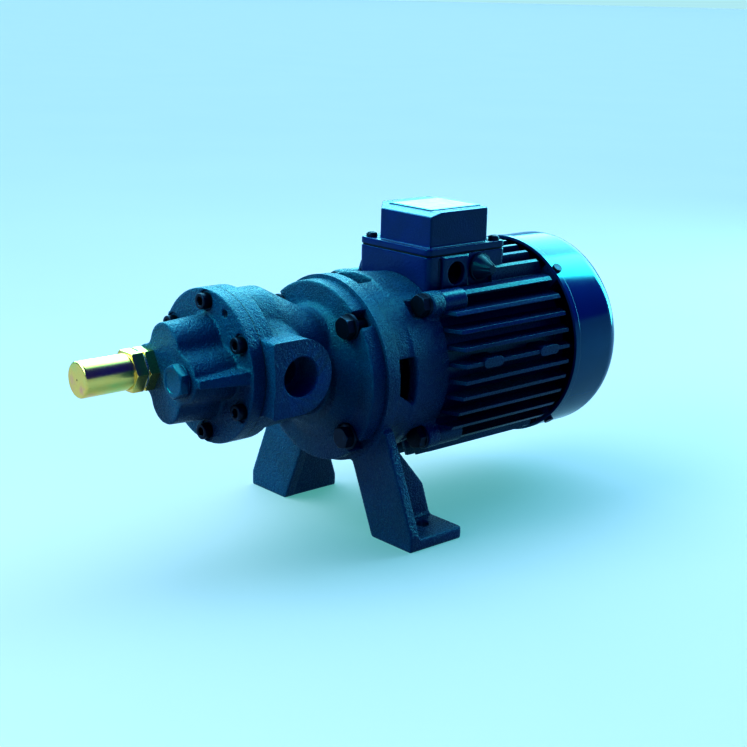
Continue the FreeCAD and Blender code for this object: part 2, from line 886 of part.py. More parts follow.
def make_cover_gasket():
    sheet = x_cylinder(ring_r, cover_back_x, parting_x, 0.0, pump_z)
    cavity = [
        x_cylinder(chamber_r, cover_back_x, parting_x, 0.0, drive_z),
        x_cylinder(chamber_r, cover_back_x, parting_x, 0.0, driven_z),
        x_cylinder(valve_passage_r, cover_back_x, parting_x, side_lobe_y, pump_z),
    ]
    for y, z, angle in cover_screw_places():
        cavity.append(x_cylinder(cover_screw_r + screw_hole_play, cover_back_x, parting_x, y, z))
    for y, z, angle in dowel_places():
        cavity.append(x_cylinder(dowel_r, cover_back_x, parting_x, y, z))
    return cut_all(sheet, cavity)


def make_cover_screws():
    seat_x = cover_face_x + cover_spot_depth
    head_x = seat_x - cover_screw_head_h
    screws = []
    for y, z, angle in cover_screw_places():
        head = x_cylinder(cover_screw_head_r, head_x, seat_x, y, z)
        shank = x_cylinder(cover_screw_r, seat_x, parting_x + cover_screw_grip, y, z)
        socket = x_hexagon(cover_screw_socket_af, head_x, head_x + cover_screw_socket_depth, y, z)
        screws.append(head.fuse(shank).removeSplitter().cut(socket))
    return Part.makeCompound(screws)


def make_cover_dowels():
    pins = []
    for y, z, angle in dowel_places():
        pins.append(x_cylinder(dowel_r, cover_back_x - dowel_length / 2.0 + key_setback,
                               parting_x + dowel_length / 2.0, y, z))
    return Part.makeCompound(pins)


# Relief valve

def make_valve_seat():
    tube = x_tube(valve_bore_r, valve_passage_r, seat_front_x, valve_bottom_x, side_lobe_y, pump_z)
    cone = x_cone(valve_bore_r - seat_lip, valve_passage_r, seat_front_x, poppet_tip_x, side_lobe_y, pump_z)
    return tube.cut(cone)


def make_valve_poppet():
    """A guided cup whose cone closes on the seat; it rests the seat gap off it."""
    tip_x = poppet_tip_x - seat_gap
    cone_x0 = tip_x - poppet_cone_length
    guide_r = valve_bore_r - poppet_guide_gap
    guide = x_cylinder(guide_r, poppet_back_x, cone_x0, side_lobe_y, pump_z)
    cone = x_cone(guide_r, valve_passage_r - poppet_tip_inset, cone_x0, tip_x, side_lobe_y, pump_z)
    pocket = x_cylinder(spring_coil_r + spring_wire_r + seat_gap, poppet_back_x, spring_seat_x, side_lobe_y, pump_z)
    return fused([guide, cone]).cut(pocket)


def make_valve_spring():
    """A coil of many-sided wire, held between the poppet and the adjusting screw."""
    start_x = adjuster_start_x + spring_wire_r
    end_x = spring_seat_x - spring_wire_r - seat_gap
    helix = Part.makeHelix((end_x - start_x) / spring_turns, end_x - start_x, spring_coil_r)
    path = Part.Wire(helix.Edges)
    start = path.Edges[0].valueAt(path.Edges[0].FirstParameter)
    along = path.Edges[0].tangentAt(path.Edges[0].FirstParameter)
    outward = Vector(1, 0, 0)
    across = along.cross(outward)
    section = []
    for i in range(spring_wire_sides):
        angle = 2.0 * math.pi * i / spring_wire_sides
        offset = outward * (spring_wire_r * math.cos(angle)) + across * (spring_wire_r * math.sin(angle))
        section.append(start + offset)
    coil = path.makePipeShell([Part.makePolygon(section + [section[0]])], True, True)
    coil.rotate(Vector(0, 0, 0), Vector(0, 1, 0), 90.0)
    coil.translate(Vector(start_x, side_lobe_y, pump_z))
    return coil


def make_valve_adjuster():
    screw = x_cylinder(adjuster_r, adjuster_end_x, adjuster_start_x, side_lobe_y, pump_z)
    slot = block(adjuster_end_x, adjuster_end_x + adjuster_slot_d,
                 side_lobe_y - adjuster_r, side_lobe_y + adjuster_r,
                 pump_z - adjuster_slot_w / 2.0, pump_z + adjuster_slot_w / 2.0)
    return screw.cut(slot)


def make_valve_bonnet():
    corner_r = bonnet_af / math.sqrt(3.0)
    hexagon = chamfered_x_hexagon(bonnet_af, bonnet_face_x, valve_face_x, bonnet_face_x,
                                  (corner_r + bonnet_af / 2.0) / 2.0, side_lobe_y, pump_z)
    thread = x_cylinder(bonnet_thread_r, valve_face_x, valve_face_x + bonnet_thread_length, side_lobe_y, pump_z)
    nose_end_x = bonnet_face_x - bonnet_nose_length
    nose = x_cylinder(bonnet_nose_r, nose_end_x, bonnet_face_x, side_lobe_y, pump_z)
    body = fused([hexagon, thread, nose])
    bore_end_x = valve_face_x + bonnet_thread_length
    return body.cut(x_cylinder(adjuster_r + running_fit, nose_end_x, bore_end_x, side_lobe_y, pump_z))


def make_adjuster_nut():
    nut_end_x = bonnet_face_x - bonnet_nose_length
    nut_start_x = nut_end_x - adjuster_nut_t
    nut = x_hexagon(adjuster_nut_af, nut_start_x, nut_end_x, side_lobe_y, pump_z)
    return nut.cut(x_cylinder(adjuster_r + running_fit, nut_start_x, nut_end_x, side_lobe_y, pump_z))


def make_cap_washer():
    return x_tube(cap_washer_r, bonnet_nose_r, cap_start_x, bonnet_face_x, side_lobe_y, pump_z)


def make_valve_cap():
    corner_r = cap_af / math.sqrt(3.0)
    hex_front_x = cap_start_x - cap_hex_t
    hexagon = chamfered_x_hexagon(cap_af, hex_front_x, cap_start_x, hex_front_x,
                                  (corner_r + cap_af / 2.0) / 2.0, side_lobe_y, pump_z)
    barrel = x_cylinder(cap_r, cap_end_x, hex_front_x, side_lobe_y, pump_z)
    rim = [edge for edge in barrel.Edges if abs(edge.BoundBox.XMax - cap_end_x) < edge_reach]
    barrel = barrel.makeFillet(cap_edge_r, rim)
    nose_end_x = bonnet_face_x - bonnet_nose_length
    hollow = x_cylinder(bonnet_nose_r, nose_end_x, cap_start_x, side_lobe_y, pump_z)
    room = x_cylinder(cap_r - cap_wall, cap_end_x + cap_wall, nose_end_x, side_lobe_y, pump_z)
    return cut_all(fused([hexagon, barrel]), [hollow, room])


def make_side_plug():
    washer_x = boss_face_x - plug_washer_t
    head_x = washer_x - plug_head_h
    head = chamfered_x_hexagon(plug_head_af, head_x, washer_x, head_x, plug_face_r, -side_lobe_y, pump_z, plug_turn)
    shank = x_cylinder(plug_thread_r, washer_x, boss_face_x + plug_thread_length, -side_lobe_y, pump_z)
    return fused([head, shank])


def make_plug_washer():
    return x_tube(plug_washer_r, plug_thread_r, boss_face_x - plug_washer_t, boss_face_x, -side_lobe_y, pump_z)


# Bolts from the pump flange into the bracket

def flange_bolt_places():
    return x_circle_points(flange_bolt_circle_r, 4, 45.0)


def make_flange_bolts():
    seat_x = flange_front_x - flange_washer_t
    head_x = seat_x - flange_bolt_head_h
    corner_r = flange_bolt_af / math.sqrt(3.0)
    bolts = []
    for y, z, angle in flange_bolt_places():
        head = chamfered_x_hexagon(flange_bolt_af, head_x, seat_x, head_x, corner_r - bolt_chamfer, y, z, angle)
        shank = x_cylinder(flange_bolt_r, seat_x, pump_face_x + flange_bolt_grip, y, z)
        bolts.append(fused([head, shank]))
    return Part.makeCompound(bolts)


def make_flange_washers():
    x1 = flange_front_x
    return Part.makeCompound([
        x_tube(flange_washer_r, flange_bolt_r, x1 - flange_washer_t, x1, y, z)
        for y, z, angle in flange_bolt_places()
    ])


# Bracket with its two legs

def bracket_shell():
    face_end_x = pump_face_x + bracket_face_t
    crease_x = pump_face_x + bracket_crease
    outer = fused([
        x_cylinder(bracket_face_r, pump_face_x, face_end_x),
        x_cylinder(bracket_barrel_r, face_end_x, crease_x),
        x_cone(bracket_band_r, bracket_rear_r, crease_x, bracket_rear_x),
    ])
    cavity = x_cylinder(bracket_bore_r, face_end_x, bracket_rear_x)
    return outer, [cavity, x_cylinder(spigot_r, pump_face_x, face_end_x)]


def bracket_windows():
    """Windows at both sides and at the top, between the face ring and the rear band."""
    x0 = pump_face_x + window_start
    x1 = x0 + window_length
    reach = bracket_face_r + overlap
    inside = bracket_bore_r - bracket_wall
    low = shaft_height - window_half_width
    high = shaft_height + window_half_width
    points = [
        Vector(x0, -reach, high),
        Vector(x1, -reach, high),
        Vector(x1, -reach, low),
        Vector(x0, -reach, low + window_corner),
    ]
    near = prism(points, Vector(0, reach - inside, 0))
    top = block(x0, x1, -window_half_width, window_half_width, shaft_height + inside, shaft_height + reach)
    return [near, mirrored_across(near), top]


def ear_places():
    return x_circle_points(ear_circle_r, 4, 45.0)


def bracket_ears():
    start_x = bracket_rear_x - ear_t
    ears = []
    pockets = []
    for i in range(4):
        ear = x_cylinder(ear_r, start_x, bracket_rear_x, ear_circle_r)
        root = block(start_x, bracket_rear_x, bracket_bore_r + overlap, ear_circle_r,
                     shaft_height - ear_r, shaft_height + ear_r)
        pocket = x_cylinder(ear_pocket_r, start_x - ear_pocket_length, start_x, ear_circle_r)
        hole = x_cylinder(motor_bolt_r + screw_hole_play, start_x, bracket_rear_x, ear_circle_r)
        ears.append(turned_about_shaft(ear.fuse(root), 45.0 + 90.0 * i))
        pockets.append(turned_about_shaft(pocket.fuse(hole), 45.0 + 90.0 * i))
    return ears, pockets


def leg_plate():
    """The upright front plate of the near leg, spread outwards towards the floor."""
    x0 = pump_face_x + leg_setback
    points = [
        Vector(x0, -leg_top_inner_y, leg_inner_z + leg_inner_bend_z),
        Vector(x0, -leg_top_inner_y - leg_inner_bend_y, leg_inner_z),
        Vector(x0, -foot_inner_y, 0),
        Vector(x0, -foot_outer_y, 0),
        Vector(x0, -foot_outer_y, leg_edge_rise),
        Vector(x0, -leg_top_outer_y, leg_top_z),
        Vector(x0, -leg_top_inner_y, leg_top_z),
    ]
    return prism(points, Vector(leg_t, 0, 0))


def leg_web():
    """The upright web at the inner edge of the foot, whose rear edge bends at a rounded knee."""
    x0 = pump_face_x + leg_setback
    x1 = x0 + foot_length
    y0 = -foot_inner_y - leg_web_t
    points = [
        Vector(x0, y0, 0),
        Vector(x1, y0, 0),
        Vector(x1, y0, foot_t),
        Vector(x1 - leg_web_knee_setback, y0, leg_web_knee_z),
        Vector(x0 + leg_t, y0, shaft_height - leg_web_top_drop),
        Vector(x0, y0, shaft_height - leg_web_top_drop),
    ]
    web = prism(points, Vector(0, leg_web_t, 0))
    knee = [edge for edge in web.Edges
            if abs(edge.BoundBox.ZMin - leg_web_knee_z) < edge_reach and edge.BoundBox.ZLength < edge_reach]
    return web.makeFillet(leg_web_knee_r, knee)


def leg_foot():
    x0 = pump_face_x + leg_setback
    foot = block(x0, x0 + foot_length, -foot_outer_y, -foot_inner_y, 0.0, foot_t)
    corners = []
    for edge in foot.Edges:
        box = edge.BoundBox
        if box.ZLength > foot_t / 2.0 and box.YMax < -foot_inner_y and box.XMin > x0:
            corners.append(edge)
    return foot.makeFillet(foot_corner_r, corners)


def make_bracket():
    outer, cavity = bracket_shell()
    ears, pockets = bracket_ears()
    leg = fused([leg_plate(), leg_web(), leg_foot()])
    legs = [leg, mirrored_across(leg)]
    holes = []
    for side in (-1.0, 1.0):
        holes.append(z_cylinder(foot_hole_r, 0.0, foot_t, 0.0, side * foot_hole_spacing / 2.0))
    for y, z, angle in flange_bolt_places():
        holes.append(x_cylinder(flange_bolt_r, pump_face_x, pump_face_x + flange_bolt_grip, y, z))
    body = fused([outer] + ears + legs)
    return cut_all(body, cavity + bracket_windows() + pockets + holes)


def make_motor_bolts():
    seat_x = bracket_rear_x - ear_t - motor_washer_t
    head_x = seat_x - motor_bolt_head_h
    corner_r = motor_bolt_af / math.sqrt(3.0)
    bolts = []
    for y, z, angle in ear_places():
        head = chamfered_x_hexagon(motor_bolt_af, head_x, seat_x, head_x, corner_r - bolt_chamfer, y, z, angle)
        shank = x_cylinder(motor_bolt_r, seat_x, motor_face_x + motor_bolt_grip, y, z)
        bolts.append(fused([head, shank]))
    return Part.makeCompound(bolts)


def make_motor_washers():
    x1 = bracket_rear_x - ear_t
    return Part.makeCompound([
        x_tube(motor_washer_r, motor_bolt_r, x1 - motor_washer_t, x1, y, z)
        for y, z, angle in ear_places()
    ])


# Coupling

def sector(radius, inner_r, x0, x1, middle, spread):
    """A slice of a tube, spread degrees wide about the middle angle."""
    tube = x_tube(radius, inner_r, x0, x1)
    reach = 2.0 * radius
    half = math.radians(spread / 2.0)
    points = [
        Vector(x0, 0, shaft_height),
        Vector(x0, reach * math.cos(half), shaft_height - reach * math.sin(half)),
        Vector(x0, reach * math.cos(half), shaft_height + reach * math.sin(half)),
    ]
    wedge = turned_about_shaft(prism(points, Vector(x1 - x0, 0, 0)), middle)
    return tube.common(wedge)


def coupling_half(hub_x0, hub_x1, jaw_x0, jaw_x1, stub_r, first_angle, key):
    hub = x_cylinder(coupling_r, hub_x0, hub_x1)
    jaws = []
    for i in range(jaw_count):
        middle = first_angle + 360.0 * i / jaw_count
        jaws.append(sector(coupling_r, spider_ring_r + seat_gap, jaw_x0, jaw_x1, middle, jaw_angle))
    return cut_all(fused([hub] + jaws), [x_cylinder(stub_r, hub_x0, hub_x1), key])


def make_pump_coupling_half():
    key = key_block(pump_key_start, pump_key_end, pump_stub_r, drive_z)
    return coupling_half(pump_hub_start, jaw_front_x, jaw_front_x, jaw_rear_x - spider_gap, pump_stub_r, 0.0, key)


def make_motor_coupling_half():
    key = key_block(motor_key_start, motor_key_end, motor_stub_r, drive_z)
    turn = 180.0 / jaw_count
    return coupling_half(jaw_rear_x, motor_hub_end, jaw_front_x + spider_gap, jaw_rear_x, motor_stub_r, turn, key)


def make_coupling_spider():
    """The rubber star between the jaws: a ring with one arm in each of the gaps."""
    x0 = jaw_front_x + spider_gap
    x1 = jaw_rear_x - spider_gap
    arm_angle = 180.0 / jaw_count - jaw_angle
    pieces = [x_tube(spider_ring_r, spider_bore_r, x0, x1)]
    for i in range(2 * jaw_count):
        middle = 90.0 / jaw_count + 180.0 * i / jaw_count
        pieces.append(sector(coupling_r, spider_bore_r, x0, x1, middle, arm_angle))
    return fused(pieces)


# Motor

def make_motor_shaft():
    pieces = [
        x_cylinder(motor_stub_r, motor_stub_end_x, front_bearing_x),
        x_cylinder(bearing_seat_r, front_bearing_x, front_bearing_x + bearing_width),
        x_cylinder(motor_body_r, front_bearing_x + bearing_width, rear_bearing_x),
        x_cylinder(bearing_seat_r, rear_bearing_x, motor_tail_x),
    ]
    key = key_block(motor_key_start, motor_key_end, motor_stub_r, drive_z)
    groove = x_tube(bearing_seat_r, bearing_seat_r - clip_groove_depth, fan_end_x, fan_end_x + fan_clip_t)
    return cut_all(fused(pieces), [key, groove])


def make_rotor_core():
    core = x_cylinder(rotor_r, core_start_x, core_end_x)
    ends = x_tube(rotor_r, end_ring_inner_r, core_start_x - end_ring_t, core_end_x + end_ring_t)
    return fused([core, ends]).cut(x_cylinder(motor_body_r, core_start_x, core_end_x))


def make_stator_core():
    return x_tube(barrel_bore_r, stator_bore_r, core_start_x, core_end_x)


def make_stator_windings():
    inner_r = stator_bore_r + winding_inset
    return Part.makeCompound([
        x_tube(winding_r, inner_r, core_start_x - winding_length, core_start_x),
        x_tube(winding_r, inner_r, core_end_x, core_end_x + winding_length),
    ])


def bearing_starts():
    return (front_bearing_x, rear_bearing_x)


def ball_circle_r():
    return (bearing_seat_r + bearing_outer_r) / 2.0


def grooved_ring(outer_r, inner_r, x0):
    """A bearing ring with the groove that its balls run in."""
    centre = Vector(x0 + bearing_width / 2.0, 0, shaft_height)
    groove = Part.makeTorus(ball_circle_r(), ball_r + running_fit, centre, Vector(1, 0, 0))
    return x_tube(outer_r, inner_r, x0, x0 + bearing_width).cut(groove)


def make_bearing_outer_rings():
    return Part.makeCompound([
        grooved_ring(bearing_outer_r, bearing_outer_r - race_t, x0) for x0 in bearing_starts()
    ])


def make_bearing_inner_rings():
    return Part.makeCompound([
        grooved_ring(bearing_seat_r + race_t, bearing_seat_r, x0) for x0 in bearing_starts()
    ])


def make_bearing_balls():
    balls = []
    for x0 in bearing_starts():
        for y, z, angle in x_circle_points(ball_circle_r(), ball_count, 0.0):
            balls.append(Part.makeSphere(ball_r, Vector(x0 + bearing_width / 2.0, y, z)))
    return Part.makeCompound(balls)


def make_front_shield():
    hub_end_x = front_bearing_x + bearing_width
    plate = x_cylinder(barrel_bore_r, motor_face_x, shield_end_x)
    spigot = x_cylinder(bracket_bore_r - seat_gap, motor_face_x - shield_spigot_length, motor_face_x)
    hub = x_cylinder(bearing_outer_r + bearing_hub_wall, shield_end_x, hub_end_x)
    bore = x_cylinder(bearing_outer_r, front_bearing_x, hub_end_x)
    spigot_start_x = motor_face_x - shield_spigot_length
    hole = x_cylinder(motor_stub_r + seal_gap, spigot_start_x, front_bearing_x)
    dish = x_tube(bracket_bore_r - bracket_wall, coupling_r + shield_dish_gap, spigot_start_x, motor_face_x + shield_dish_depth)
    return cut_all(fused([plate, spigot, hub]), [bore, hole, dish])


def fin_blank():
    """The ring that the fins are trimmed to: sloped at both ends, and clear of the rear shield."""
    x0 = motor_face_x + seat_gap
    tip_x = housing_end_x + fin_overhang
    outer = fused([
        x_cone(fin_root_r, fin_tip_r, x0, x0 + fin_front_slant),
        x_cylinder(fin_tip_r, x0 + fin_front_slant, tip_x),
        x_cone(fin_tip_r, fin_root_r, tip_x, tip_x + fin_slant),
    ])
    inside = x_cylinder(barrel_r - fin_embed, x0, housing_end_x)
    behind = x_cylinder(rear_shield_rim_r + seat_gap, housing_end_x, tip_x + fin_slant)
    return cut_all(outer, [inside, behind])


def housing_fins():
    """Level fins on both sides, and upright ones on top and underneath."""
    x0 = motor_face_x
    x1 = housing_end_x + rear_shield_t
    side_start_y = top_fin_pitch * (top_fin_count - 1) / 2.0
    fin_foot = side_start_y + fin_t
    slabs = []
    for i in range(fin_count_side):
        z = shaft_height + fin_pitch * (i - (fin_count_side - 1) / 2.0)
        slabs.append(block(x0, x1, side_start_y, fin_tip_r, z - fin_t / 2.0, z + fin_t / 2.0))
        slabs.append(block(x0, x1, -fin_tip_r, -side_start_y, z - fin_t / 2.0, z + fin_t / 2.0))
    for i in range(top_fin_count):
        y = top_fin_pitch * (i - (top_fin_count - 1) / 2.0)
        slabs.append(block(x0, x1, y - fin_t / 2.0, y + fin_t / 2.0,
                           shaft_height + fin_foot, shaft_height + fin_tip_r))
        slabs.append(block(x0, x1, y - fin_t / 2.0, y + fin_t / 2.0,
                           shaft_height - fin_tip_r, shaft_height - fin_foot))
    return fused(slabs).common(fin_blank())


def housing_rails():
    """The two long rails under the barrel, bevelled at the rear."""
    x0 = motor_face_x + rail_setback
    x1 = housing_end_x - rail_setback
    z0 = shaft_height - barrel_r - rail_below
    z1 = z0 + rail_height
    rails = []
    for side in (-1.0, 1.0):
        y0 = min(side * rail_outer_y, side * (rail_outer_y - rail_width))
        points = [
            Vector(x0, y0, z0),
            Vector(x1 - rail_bevel_length, y0, z0),
            Vector(x1, y0, z0 + rail_bevel_height),
            Vector(x1, y0, z1),
            Vector(x0, y0, z1),
        ]
        rails.append(prism(points, Vector(0, rail_width, 0)))
    return rails


def housing_pads():
    """The two long round-ended pads on the fin nearest the middle, on both sides."""
    pads = []
    z = shaft_height + fin_pitch / 2.0
    for offset in (first_pad_offset, second_pad_offset):
        x0 = motor_face_x + offset + pad_height / 2.0
        x1 = motor_face_x + offset + pad_length - pad_height / 2.0
        for side in (-1.0, 1.0):
            y0 = min(side * barrel_r, side * (fin_tip_r + pad_proud))
            y1 = max(side * barrel_r, side * (fin_tip_r + pad_proud))
            pads.append(fused([
                block(x0, x1, y0, y1, z - pad_height / 2.0, z + pad_height / 2.0),
                y_cylinder(pad_height / 2.0, y0, y1, x0, z),
                y_cylinder(pad_height / 2.0, y0, y1, x1, z),
            ]))
    return pads


def housing_lugs():
    lugs = []
    for i in range(4):
        lug = x_cylinder(bolt_lug_r, motor_face_x, motor_face_x + bolt_lug_length, ear_circle_r)
        root = block(motor_face_x, motor_face_x + bolt_lug_length, barrel_r - 2.0 * fin_embed, ear_circle_r,
                     shaft_height - bolt_lug_r, shaft_height + bolt_lug_r)
        lugs.append(turned_about_shaft(lug.fuse(root), 45.0 + 90.0 * i))
    return lugs


def shield_screw_places():
    return x_circle_points(shield_screw_circle_r, 4, 45.0)


def box_room():
    """Where the fins stop short, to leave room for the terminal box and its cable entries."""
    top_z = shaft_height + 2.0 * barrel_r
    under_box = block(box_start_x, box_end_x, -box_half_width, box_half_width, shaft_height, top_z)
    entry_end_x = box_start_x + cone_x + cone_base_r + entry_clearance
    beside = block(motor_face_x, entry_end_x, -box_half_width - box_corner_r, -box_half_width,
                   entry_pad_low - entry_clearance, top_z)
    return [under_box, beside]


def wire_hole(z1):
    return z_cylinder(wire_hole_r, shaft_height, z1, box_start_x + wire_hole_offset, 0.0)


def make_motor_housing():
    barrel = x_cylinder(barrel_r, motor_face_x, housing_end_x)
    fins_and_lugs = cut_all(fused([housing_fins()] + housing_lugs()), box_room())
    outside = fused([barrel, fins_and_lugs] + housing_rails() + housing_pads())
    cavity = [
        x_cylinder(barrel_bore_r, motor_face_x, housing_end_x),
        wire_hole(shaft_height + barrel_r + overlap),
    ]
    for y, z, angle in ear_places():
        cavity.append(x_cylinder(motor_bolt_r, motor_face_x, motor_face_x + motor_bolt_grip, y, z))
    body = cut_all(outside, cavity)
    lugs = []
    lug_start_x = housing_end_x - shield_lug_length
    for y, z, angle in shield_screw_places():
        lug = x_cylinder(shield_lug_r, lug_start_x, housing_end_x, y, z)
        ring = x_cylinder(barrel_bore_r + fin_embed, lug_start_x, housing_end_x)
        hole = x_cylinder(shield_screw_r, housing_end_x - shield_screw_grip, housing_end_x, y, z)
        lugs.append(lug.common(ring).cut(hole))
    return fused([body] + lugs)


def cowl_lug_angles():
    return (cowl_screw_angle, 180.0 - cowl_screw_angle, 180.0 + cowl_screw_angle, 360.0 - cowl_screw_angle)


def cowl_screw_x():
    return cowl_start_x + cowl_screw_offset


def make_rear_shield():
    x0 = housing_end_x
    x1 = x0 + rear_shield_t
    hub_start_x = rear_bearing_x
    inner_r = cowl_r - cowl_wall
    pieces = [
        x_cylinder(rear_shield_rim_r, x0, x1),
        x_cylinder(bearing_outer_r + bearing_hub_wall, hub_start_x, x1),
    ]
    for angle in cowl_lug_angles():
        lug_r = inner_r - seat_gap
        lug = block(x1 - overlap, x1 + cowl_lug_length - overlap, rear_shield_rim_r - cowl_lug_depth, lug_r,
                    shaft_height - cowl_lug_half_width, shaft_height + cowl_lug_half_width)
        round_end = x_cylinder(lug_r, x1 - overlap, x1 + cowl_lug_length - overlap)
        pieces.append(turned_about_shaft(lug.common(round_end), angle))
    cavity = [
        x_cylinder(bearing_outer_r, hub_start_x, x1 - bearing_cover_t),
        x_cylinder(bearing_seat_r + seal_gap, hub_start_x, x1),
    ]
    for y, z, angle in shield_screw_places():
        cavity.append(x_cylinder(shield_screw_r + screw_hole_play, x0, x1, y, z))
    for angle in cowl_lug_angles():
        start = Vector(cowl_screw_x(), cowl_r - cowl_screw_length, shaft_height)
        hole = Part.makeCylinder(cowl_screw_r, cowl_screw_length, start, Vector(0, 1, 0))
        cavity.append(turned_about_shaft(hole, angle))
    return cut_all(fused(pieces), cavity)


def make_shield_screws():
    x1 = housing_end_x + rear_shield_t
    screws = []
    for y, z, angle in shield_screw_places():
        head = x_cylinder(shield_screw_head_r, x1, x1 + shield_screw_head_h, y, z)
        shank = x_cylinder(shield_screw_r, housing_end_x - shield_screw_grip, x1, y, z)
        screws.append(fused([head, shank]))
    return Part.makeCompound(screws)


def make_wave_washer():
    x0 = rear_bearing_x + bearing_width
    outer_r = bearing_outer_r - wave_washer_gap
    return x_tube(outer_r, outer_r - wave_washer_width, x0, x0 + wave_washer_t)


def make_fan():
    hub = x_cylinder(fan_hub_r, fan_start_x, fan_end_x)
    disc = x_cylinder(fan_r, fan_end_x - fan_disc_t, fan_end_x)
    pieces = [hub, disc]
    for i in range(fan_blade_count):
        blade = block(fan_end_x - fan_blade_width, fan_end_x, fan_hub_r - overlap, fan_r - overlap,
                      shaft_height - fan_blade_t / 2.0, shaft_height + fan_blade_t / 2.0)
        pieces.append(turned_about_shaft(blade, 360.0 * i / fan_blade_count))
    return fused(pieces).cut(x_cylinder(bearing_seat_r, fan_start_x, fan_end_x))


def make_fan_clip():
    ring = x_tube(fan_clip_r, bearing_seat_r - clip_groove_depth, fan_end_x, fan_end_x + fan_clip_t)
    gap = block(fan_end_x, fan_end_x + fan_clip_t, -fan_clip_opening / 2.0, fan_clip_opening / 2.0,
                shaft_height, shaft_height + 2.0 * fan_clip_r)
    return ring.cut(gap)


def cowl_profile(outer_r, x_front, x_back, corner_r):
    """Half the cowl's section: a straight wall, a round shoulder and a flat back."""
    def at(x, r):
        return Vector(x, 0, shaft_height + r)

    diagonal = corner_r * math.sqrt(0.5)
    shoulder = at(x_back - corner_r + diagonal, outer_r - corner_r + diagonal)
    edges = [
        Part.LineSegment(at(x_front, 0), at(x_front, outer_r)).toShape(),
        Part.LineSegment(at(x_front, outer_r), at(x_back - corner_r, outer_r)).toShape(),
        Part.Arc(at(x_back - corner_r, outer_r), shoulder, at(x_back, outer_r - corner_r)).toShape(),
        Part.LineSegment(at(x_back, outer_r - corner_r), at(x_back, 0)).toShape(),
        Part.LineSegment(at(x_back, 0), at(x_front, 0)).toShape(),
    ]
    return Part.Face(Part.Wire(edges)).revolve(Vector(0, 0, shaft_height), Vector(1, 0, 0), 360.0)


def cowl_grille():
    """Arc slots in rings on the back of the cowl."""
    slots = []
    spread = 360.0 / cowl_grille_sectors
    for ring in range(cowl_grille_rings):
        inner = cowl_grille_first_r + ring * (cowl_grille_slot + cowl_grille_web)
        web_angle = math.degrees(cowl_grille_web / inner)
        for i in range(cowl_grille_sectors):
            slots.append(sector(inner + cowl_grille_slot, inner, cowl_end_x - 2.0 * cowl_wall, cowl_end_x,
                                spread * i, spread - web_angle))
    return slots


def make_fan_cowl():
    outer = cowl_profile(cowl_r, cowl_start_x, cowl_end_x, cowl_dome_r)
    inner = cowl_profile(cowl_r - cowl_wall, cowl_start_x, cowl_end_x - cowl_wall, cowl_dome_r - cowl_wall)
    bead = x_tube(cowl_r + cowl_bead_proud, cowl_r - cowl_wall / 2.0, cowl_start_x, cowl_start_x + cowl_bead_length)
    shell = fused([outer.cut(inner), bead])
    holes = []
    for angle in cowl_lug_angles():
        hole = Part.makeCylinder(cowl_screw_r + screw_hole_play, 4.0 * cowl_wall,
                                 Vector(cowl_screw_x(), cowl_r - 2.0 * cowl_wall, shaft_height), Vector(0, 1, 0))
        holes.append(turned_about_shaft(hole, angle))
    return cut_all(shell, cowl_grille() + holes)


def make_cowl_screws():
    seat_r = cowl_r + cowl_bead_proud
    screws = []
    for angle in cowl_lug_angles():
        start = Vector(cowl_screw_x(), cowl_r - cowl_screw_length, shaft_height)
        shank = Part.makeCylinder(cowl_screw_r, seat_r - cowl_r + cowl_screw_length, start, Vector(0, 1, 0))
        head = Part.makeCylinder(cowl_screw_head_r, cowl_screw_head_h, Vector(cowl_screw_x(), seat_r, shaft_height),
                                 Vector(0, 1, 0))
        screws.append(turned_about_shaft(fused([shank, head]), angle))
    return Part.makeCompound(screws)


# Terminal box

def rounded_box(x0, x1, y0, y1, z0, z1, corner_r):
    box = block(x0, x1, y0, y1, z0, z1)
    upright = [edge for edge in box.Edges if edge.BoundBox.ZLength > (z1 - z0) / 2.0]
    return box.makeFillet(corner_r, upright)


def entry_pad():
    """The flat pad round the open cable entry."""
    x0 = box_start_x + entry_pad_start
    return block(x0, x0 + entry_pad_length, -box_half_width - entry_pad_proud, -box_half_width + box_wall,
                 entry_pad_low, box_base_top - entry_pad_top_gap)


def box_hollow():
    """The inside of the box: its floor follows the barrel, with a flat seat for the terminal board."""
    hollow = rounded_box(box_start_x + box_wall, box_end_x - box_wall, -box_half_width + box_wall,
                         box_half_width - box_wall, shaft_height, box_base_top, box_corner_r - box_wall / 2.0)
    floor = x_cylinder(barrel_r + box_floor_t, box_start_x, box_end_x)
    board_x = box_start_x + board_offset
    seat = block(board_x, board_x + board_length, -board_width / 2.0, board_width / 2.0, shaft_height, board_seat_z)
    return cut_all(hollow, [floor, seat])


def make_terminal_box():
    outer = rounded_box(box_start_x, box_end_x, -box_half_width, box_half_width, shaft_height, box_base_top, box_corner_r)
    posts = [z_cylinder(lid_screw_inset, shaft_height, box_base_top, x, y).common(outer) for x, y in lid_screw_places()]
    body = fused([fused([outer, entry_pad()]).cut(box_hollow())] + posts)
    inner_y = -box_half_width + box_wall
    groove_x = box_start_x + entry_pad_start - box_groove_width
    cavity = [
        x_cylinder(barrel_r, box_start_x, box_end_x),
        y_cylinder(entry_r, -box_half_width - entry_pad_proud, inner_y, box_start_x + entry_x, entry_z),
        y_cylinder(cone_shank_r, -box_half_width, inner_y, box_start_x + cone_x, cone_z),
        wire_hole(board_seat_z),
        block(groove_x, groove_x + box_groove_width, -box_half_width, -box_half_width + box_groove_depth,
              shaft_height, box_base_top - entry_pad_top_gap),
    ]
    for x, y in lid_screw_places():
        cavity.append(z_cylinder(lid_screw_r, box_base_top + lid_flange_t - lid_screw_length, box_base_top, x, y))
    return cut_all(body, cavity)


def lid_screw_places():
    return (
        (box_start_x + lid_screw_inset, box_half_width - lid_screw_inset),
        (box_end_x - lid_screw_inset, -box_half_width + lid_screw_inset),
    )


